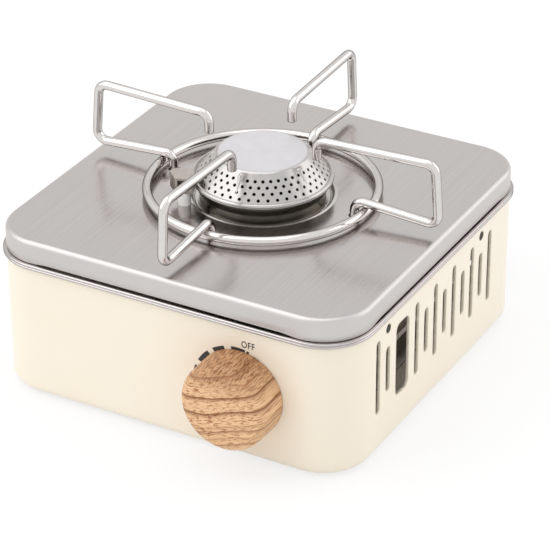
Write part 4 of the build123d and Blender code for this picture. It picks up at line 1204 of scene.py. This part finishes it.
# %% Growth lines
FACE_HALF = 24
LINE_SLOPE = -0.35
SAG_START, SAG = 4.0, -0.013
tree, shader = finish("oak_grain", (0.80, 0.54, 0.31), 0.0, 0.45, Specular_IOR_Level=0.3)
face_place = place(tree, (METRE, METRE, METRE), (-gas_x, -knob_front, -gas_z))
across, deep, up = add(tree, "SeparateXYZ", [(0, face_place)]).outputs


def stretched_noise(vector, scale, roughness=0.5):
    """Noise with its own scale, per millimetre, across, into and up the face."""
    scaled = add(tree, "Mapping", [("Vector", vector)], Scale=scale).outputs[0]
    return noise(tree, scaled, 1.0, 2.0, roughness)


leftward = sums(tree, "MINIMUM", sums(tree, "ADD", across, SAG_START), 0.0)
sagged = sums(tree, "MULTIPLY", leftward, leftward)
level = sums(tree, "MULTIPLY_ADD", sagged, SAG, sums(tree, "MULTIPLY_ADD", across, LINE_SLOPE, up))
sway = spread(tree, stretched_noise(face_place, (0.06, 0.04, 0.09)), -0.6, 0.6)
ripple = spread(tree, stretched_noise(face_place, (0.22, 0.05, 0.3)), -0.15, 0.15)
level = sums(tree, "ADD", sums(tree, "ADD", level, sway), ripple)
growth = [(-17.5, 0.6), (-14.2, 0.4), (-10.6, 0.7), (-8.2, 0.35), (-0.9, 1.0), (6.75, 1.0), (17.4, 0.7)]
stops = []
for line_level, strength in growth:
    at = (line_level + FACE_HALF) / (2 * FACE_HALF)
    for step, share in ((-0.045, 0), (-0.014, 0.5), (0, 1), (0.012, 0)):
        stops.append((at + step, (share * strength,) * 3))
line_mask = ramp(tree, spread(tree, level, 0, 1, -FACE_HALF, FACE_HALF), stops)
print("growth lines:", len(growth))

# %% [markdown]
# Between the lines lie fine fibres and short dark dashes, which are noise stretched along the lines,
# stronger in some zones than in others. Towards the top the picture darkens and is crossed by a slanted
# hatch. The layers are mixed one over the other, with the growth lines last.

# %% Fibres, dashes and hatch
DUSK_FROM, DUSK_TO, DUSK = 8, 20, 0.65
HATCH_SLOPE = -1.33
grain_place = add(tree, "CombineXYZ", [(0, across), (1, deep), (2, level)]).outputs[0]
slant = sums(tree, "MULTIPLY_ADD", across, HATCH_SLOPE, up)
slant_place = add(tree, "CombineXYZ", [(0, across), (1, deep), (2, slant)]).outputs[0]
dashes = stretched_noise(grain_place, (0.29, 0.06, 1.4), 0.6)
dash_mask = spread(tree, dashes, 0, 1, 0.53, 0.57)
zone = spread(tree, stretched_noise(grain_place, (0.05, 0.04, 0.16), 0.6), 0.45, 1.0, 0.35, 0.6)
fibre = spread(tree, stretched_noise(grain_place, (0.2, 0.04, 2.6), 0.6), 0, 1)
dusk = spread(tree, up, 0, 1, DUSK_FROM, DUSK_TO)
hatch = spread(tree, stretched_noise(slant_place, (0.5, 0.3, 1.3)), 0, 0.9, 0.49, 0.57)
tone = mixed(tree, fibre, (0.87, 0.59, 0.355), (0.71, 0.425, 0.22))
tone = mixed(tree, sums(tree, "MULTIPLY", dash_mask, zone), tone, (0.40, 0.165, 0.066))
tone = mixed(tree, sums(tree, "MULTIPLY", dusk, DUSK), tone, (0.42, 0.20, 0.085))
tone = mixed(tree, sums(tree, "MULTIPLY", hatch, dusk), tone, (0.22, 0.085, 0.032))
tone = mixed(tree, line_mask, tone, (0.21, 0.07, 0.022))
tree.links.new(tone, shader.inputs["Base Color"])
tree.links.new(spread(tree, dashes, 0.40, 0.52), shader.inputs["Roughness"])
bump(tree, shader, sums(tree, "MULTIPLY_ADD", dash_mask, -0.5, fibre), 6e-6, 0.08)
print("wood grain:", len(tree.nodes), "nodes")

# %% [markdown]
# ### Small finishes
# Glazed ceramic, rubber, moulded plastic, ferrite and print each get a tone that drifts and a gloss that
# varies.

# %% Small finishes


def plain_finish(name, color, roughness, scale, contrast, depth, **values):
    """Even finish with drifting tone, varied gloss and fine relief from one noise."""
    tree, shader = finish(name, color, 0.0, roughness, **values)
    grainy = noise(tree, place(tree), scale, 3.0)
    patterned(tree, shader, grainy, color, contrast, roughness, 0.05, depth)


plain_finish("white_glaze", (0.92, 0.91, 0.88), 0.15, 120.0, 0.02, 2e-6, Coat_Weight=0.4)
plain_finish("black_rubber", (0.035, 0.035, 0.036), 0.7, 900.0, 0.25, 2e-5)
plain_finish("black_plastic", (0.03, 0.03, 0.032), 0.45, 1500.0, 0.2, 1e-5)
plain_finish("white_plastic", (0.78, 0.77, 0.73), 0.4, 1200.0, 0.03, 1e-5)
plain_finish("ferrite", (0.085, 0.078, 0.07), 0.6, 700.0, 0.3, 2e-5)
plain_finish("charcoal_ink", (0.035, 0.033, 0.032), 0.6, 2000.0, 0.25, 2e-6)
print("finishes in all:", len(finishes))

# %% [markdown]
# ### Who wears what
# Every piece that shows, new or from the solids, gets its finish by name.

# %% Give out the finishes
worn = {
    "cream_enamel": ["tin_box"],
    "polished_rim": ["rim_bead", "rivet_heads", "valve_screws", "electrode"],
    "brushed_stainless": ["lid_sheet", "foot_cups"],
    "seat_sheet": ["recess_bead", "seat_ring_sheet", "mixing_tube"],
    "polished_wire": ["ring_wire", "arm_wire_right", "arm_wire_back", "arm_wire_left", "arm_wire_front"],
    "burner_polish": ["burner_cone", "burner_ribs"],
    # Painted shade: the cup under the cap is made near black.
    "burner_cup_painted_shade": ["burner_cup", "burner_bowl"],
    "hood_sheet": ["igniter_shield", "heat_shield"],
    # Blackened steel and painted shade in the catch holes.
    "spring_sheet_painted_shade": ["lid_catches"],
    "zinc_sheet": ["valve_bracket", "canister_rails"],
    "cast_alloy": ["gas_pipe", "valve_body", "regulator", "canister_socket"],
    "turned_brass": ["injector", "valve_spindle"],
    "oak_grain": ["knob_turning"],
    "white_glaze": ["ceramic_tube"],
    "black_rubber": ["rubber_feet", "inlet_seal", "ignition_lead"],
    "black_plastic": ["piezo_housing"],
    "white_plastic": ["piezo_plunger", "trigger_cam"],
    "ferrite": ["socket_magnet"],
    "charcoal_ink": ["printed_scale", "printed_off"],
}
for name, wearers in worn.items():
    for wearer in wearers:
        skin = bpy.data.objects[wearer].data.materials
        skin.clear()
        skin.append(finishes[name])
print("finishes given to", sum(len(wearers) for wearers in worn.values()), "pieces")

# %% [markdown]
# ## Floor and world
# A shop picture has a white surround. The floor and the world look white to the camera and to mirror rays,
# and the floor still takes part of its tone from the light, so the contact shadow stays.

# %% Floor
FLOOR_HALF = 6
FLOOR_GLOW = 0.72


def seen_white(tree):
    """One for rays from the camera, a mirror or glass, and zero for rays that only light things."""
    rays = tree.nodes.new("ShaderNodeLightPath").outputs
    seen = sums(tree, "MAXIMUM", rays["Is Camera Ray"], rays["Is Glossy Ray"])
    return sums(tree, "MAXIMUM", seen, rays["Is Transmission Ray"])


floor_corners = [(x * FLOOR_HALF, y * FLOOR_HALF, 0) for x, y in ((-1, -1), (1, -1), (1, 1), (-1, 1))]
floor_mesh = bpy.data.meshes.new("floor")
floor_mesh.from_pydata(floor_corners, [], [(0, 1, 2, 3)])
floor = in_scene("floor", floor_mesh)
white_floor = bpy.data.materials.new("white_floor")
white_floor.use_nodes = True
tree = white_floor.node_tree
tree.nodes.clear()
matt = add(tree, "BsdfDiffuse", Color=(0.9, 0.9, 0.9, 1))
glow = add(tree, "Emission", Color=(1, 1, 1, 1), Strength=1.0)
share = sums(tree, "MULTIPLY", seen_white(tree), FLOOR_GLOW)
both = add(tree, "MixShader", [(0, share), (1, matt.outputs[0]), (2, glow.outputs[0])])
tree.links.new(both.outputs[0], add(tree, "OutputMaterial").inputs[0])
floor_mesh.materials.append(white_floor)
print("floor", 2 * FLOOR_HALF, "m wide")

# %% [markdown]
# The world is an even white all round. Rays that are seen meet it at full strength, and rays that only
# light things meet a slightly dimmer sky.

# %% World
SKY_LIGHT = 0.86
world = bpy.data.worlds.new("white_surround")
bpy.context.scene.world = world
world.use_nodes = True
tree = world.node_tree
sky = tree.nodes["Background"]
sky.inputs["Color"].default_value = (1, 1, 1, 1)
tree.links.new(spread(tree, seen_white(tree), SKY_LIGHT, 1.0, 0, 1), sky.inputs["Strength"])
print("sky light", SKY_LIGHT)

# %% [markdown]
# ## Lamps
# Three wide soft lamps: one above draws the bright lines on the wires, and one at the left and one behind
# at the right light the walls and lie as bright fields on the cone's flanks. They are large and dim, so the
# lid never burns out to white.

# %% Lamps
AIM_HEIGHT = 0.06


def looking(around, above):
    """Back, right and up directions of a lamp or camera that looks at the stove from a compass angle,
    counted from the front, and a height angle."""
    turn, tilt = math.radians(around), math.radians(above)
    back = np.array([math.sin(turn) * math.cos(tilt), -math.cos(turn) * math.cos(tilt), math.sin(tilt)])
    right = np.array([math.cos(turn), math.sin(turn), 0.0])
    return back, right, np.cross(back, right)


def stand(made, right, up, back, spot):
    """Puts a lamp or camera at a spot with its three axes."""
    matrix = np.eye(4)
    matrix[:3] = np.stack([right, up, back, spot], -1)
    made.matrix_world = Matrix(matrix.tolist())


def softbox(name, around, above, away, size, brightness):
    """Square area lamp aimed at the stove from two angles, a distance away. The power is brightness times
    pi times the lamp's area."""
    light = bpy.data.lights.new(name, "AREA")
    light.shape = "SQUARE"
    light.size = size
    light.energy = brightness * math.pi * size * size
    back, right, up = looking(around, above)
    stand(in_scene(name, light), right, up, back, away * back + np.array([0, 0, AIM_HEIGHT]))
    print(name, round(light.energy, 2), "W")


softbox("lamp_above", -60, 80, 1.2, 1.1, 0.9)
softbox("lamp_left", -52, 40, 1.3, 1.2, 0.98)
softbox("lamp_right", 134, 28, 1.3, 1.2, 0.75)

# %% [markdown]
# ## Camera
# The camera stands to the front right and looks down by thirty degrees through a long lens. Its place comes
# from the box's edges in the picture; the shift only frames the stove as there.

# %% Camera
AZIMUTH, ELEVATION = 29.163, 29.82
ROLL = math.radians(-0.278)
DISTANCE = 1.28804
TARGET = np.array([0.00556, -0.00417 + burner_y * MM, 0.040 + underside * MM])
back, level, rise = looking(AZIMUTH, ELEVATION)
right = math.cos(ROLL) * level + math.sin(ROLL) * rise
up = -math.sin(ROLL) * level + math.cos(ROLL) * rise
lens = bpy.data.cameras.new("camera")
lens.lens = 177.63
lens.sensor_width = 36.0
lens.shift_x = 0.0105
lens.shift_y = 0.0004
lens.clip_end = 20.0
camera = in_scene("camera", lens)
stand(camera, right, up, back, TARGET + DISTANCE * back)
bpy.context.scene.camera = camera
bpy.context.scene.view_settings.view_transform = "Standard"
print("camera", DISTANCE, "m away, lens", lens.lens, "mm")
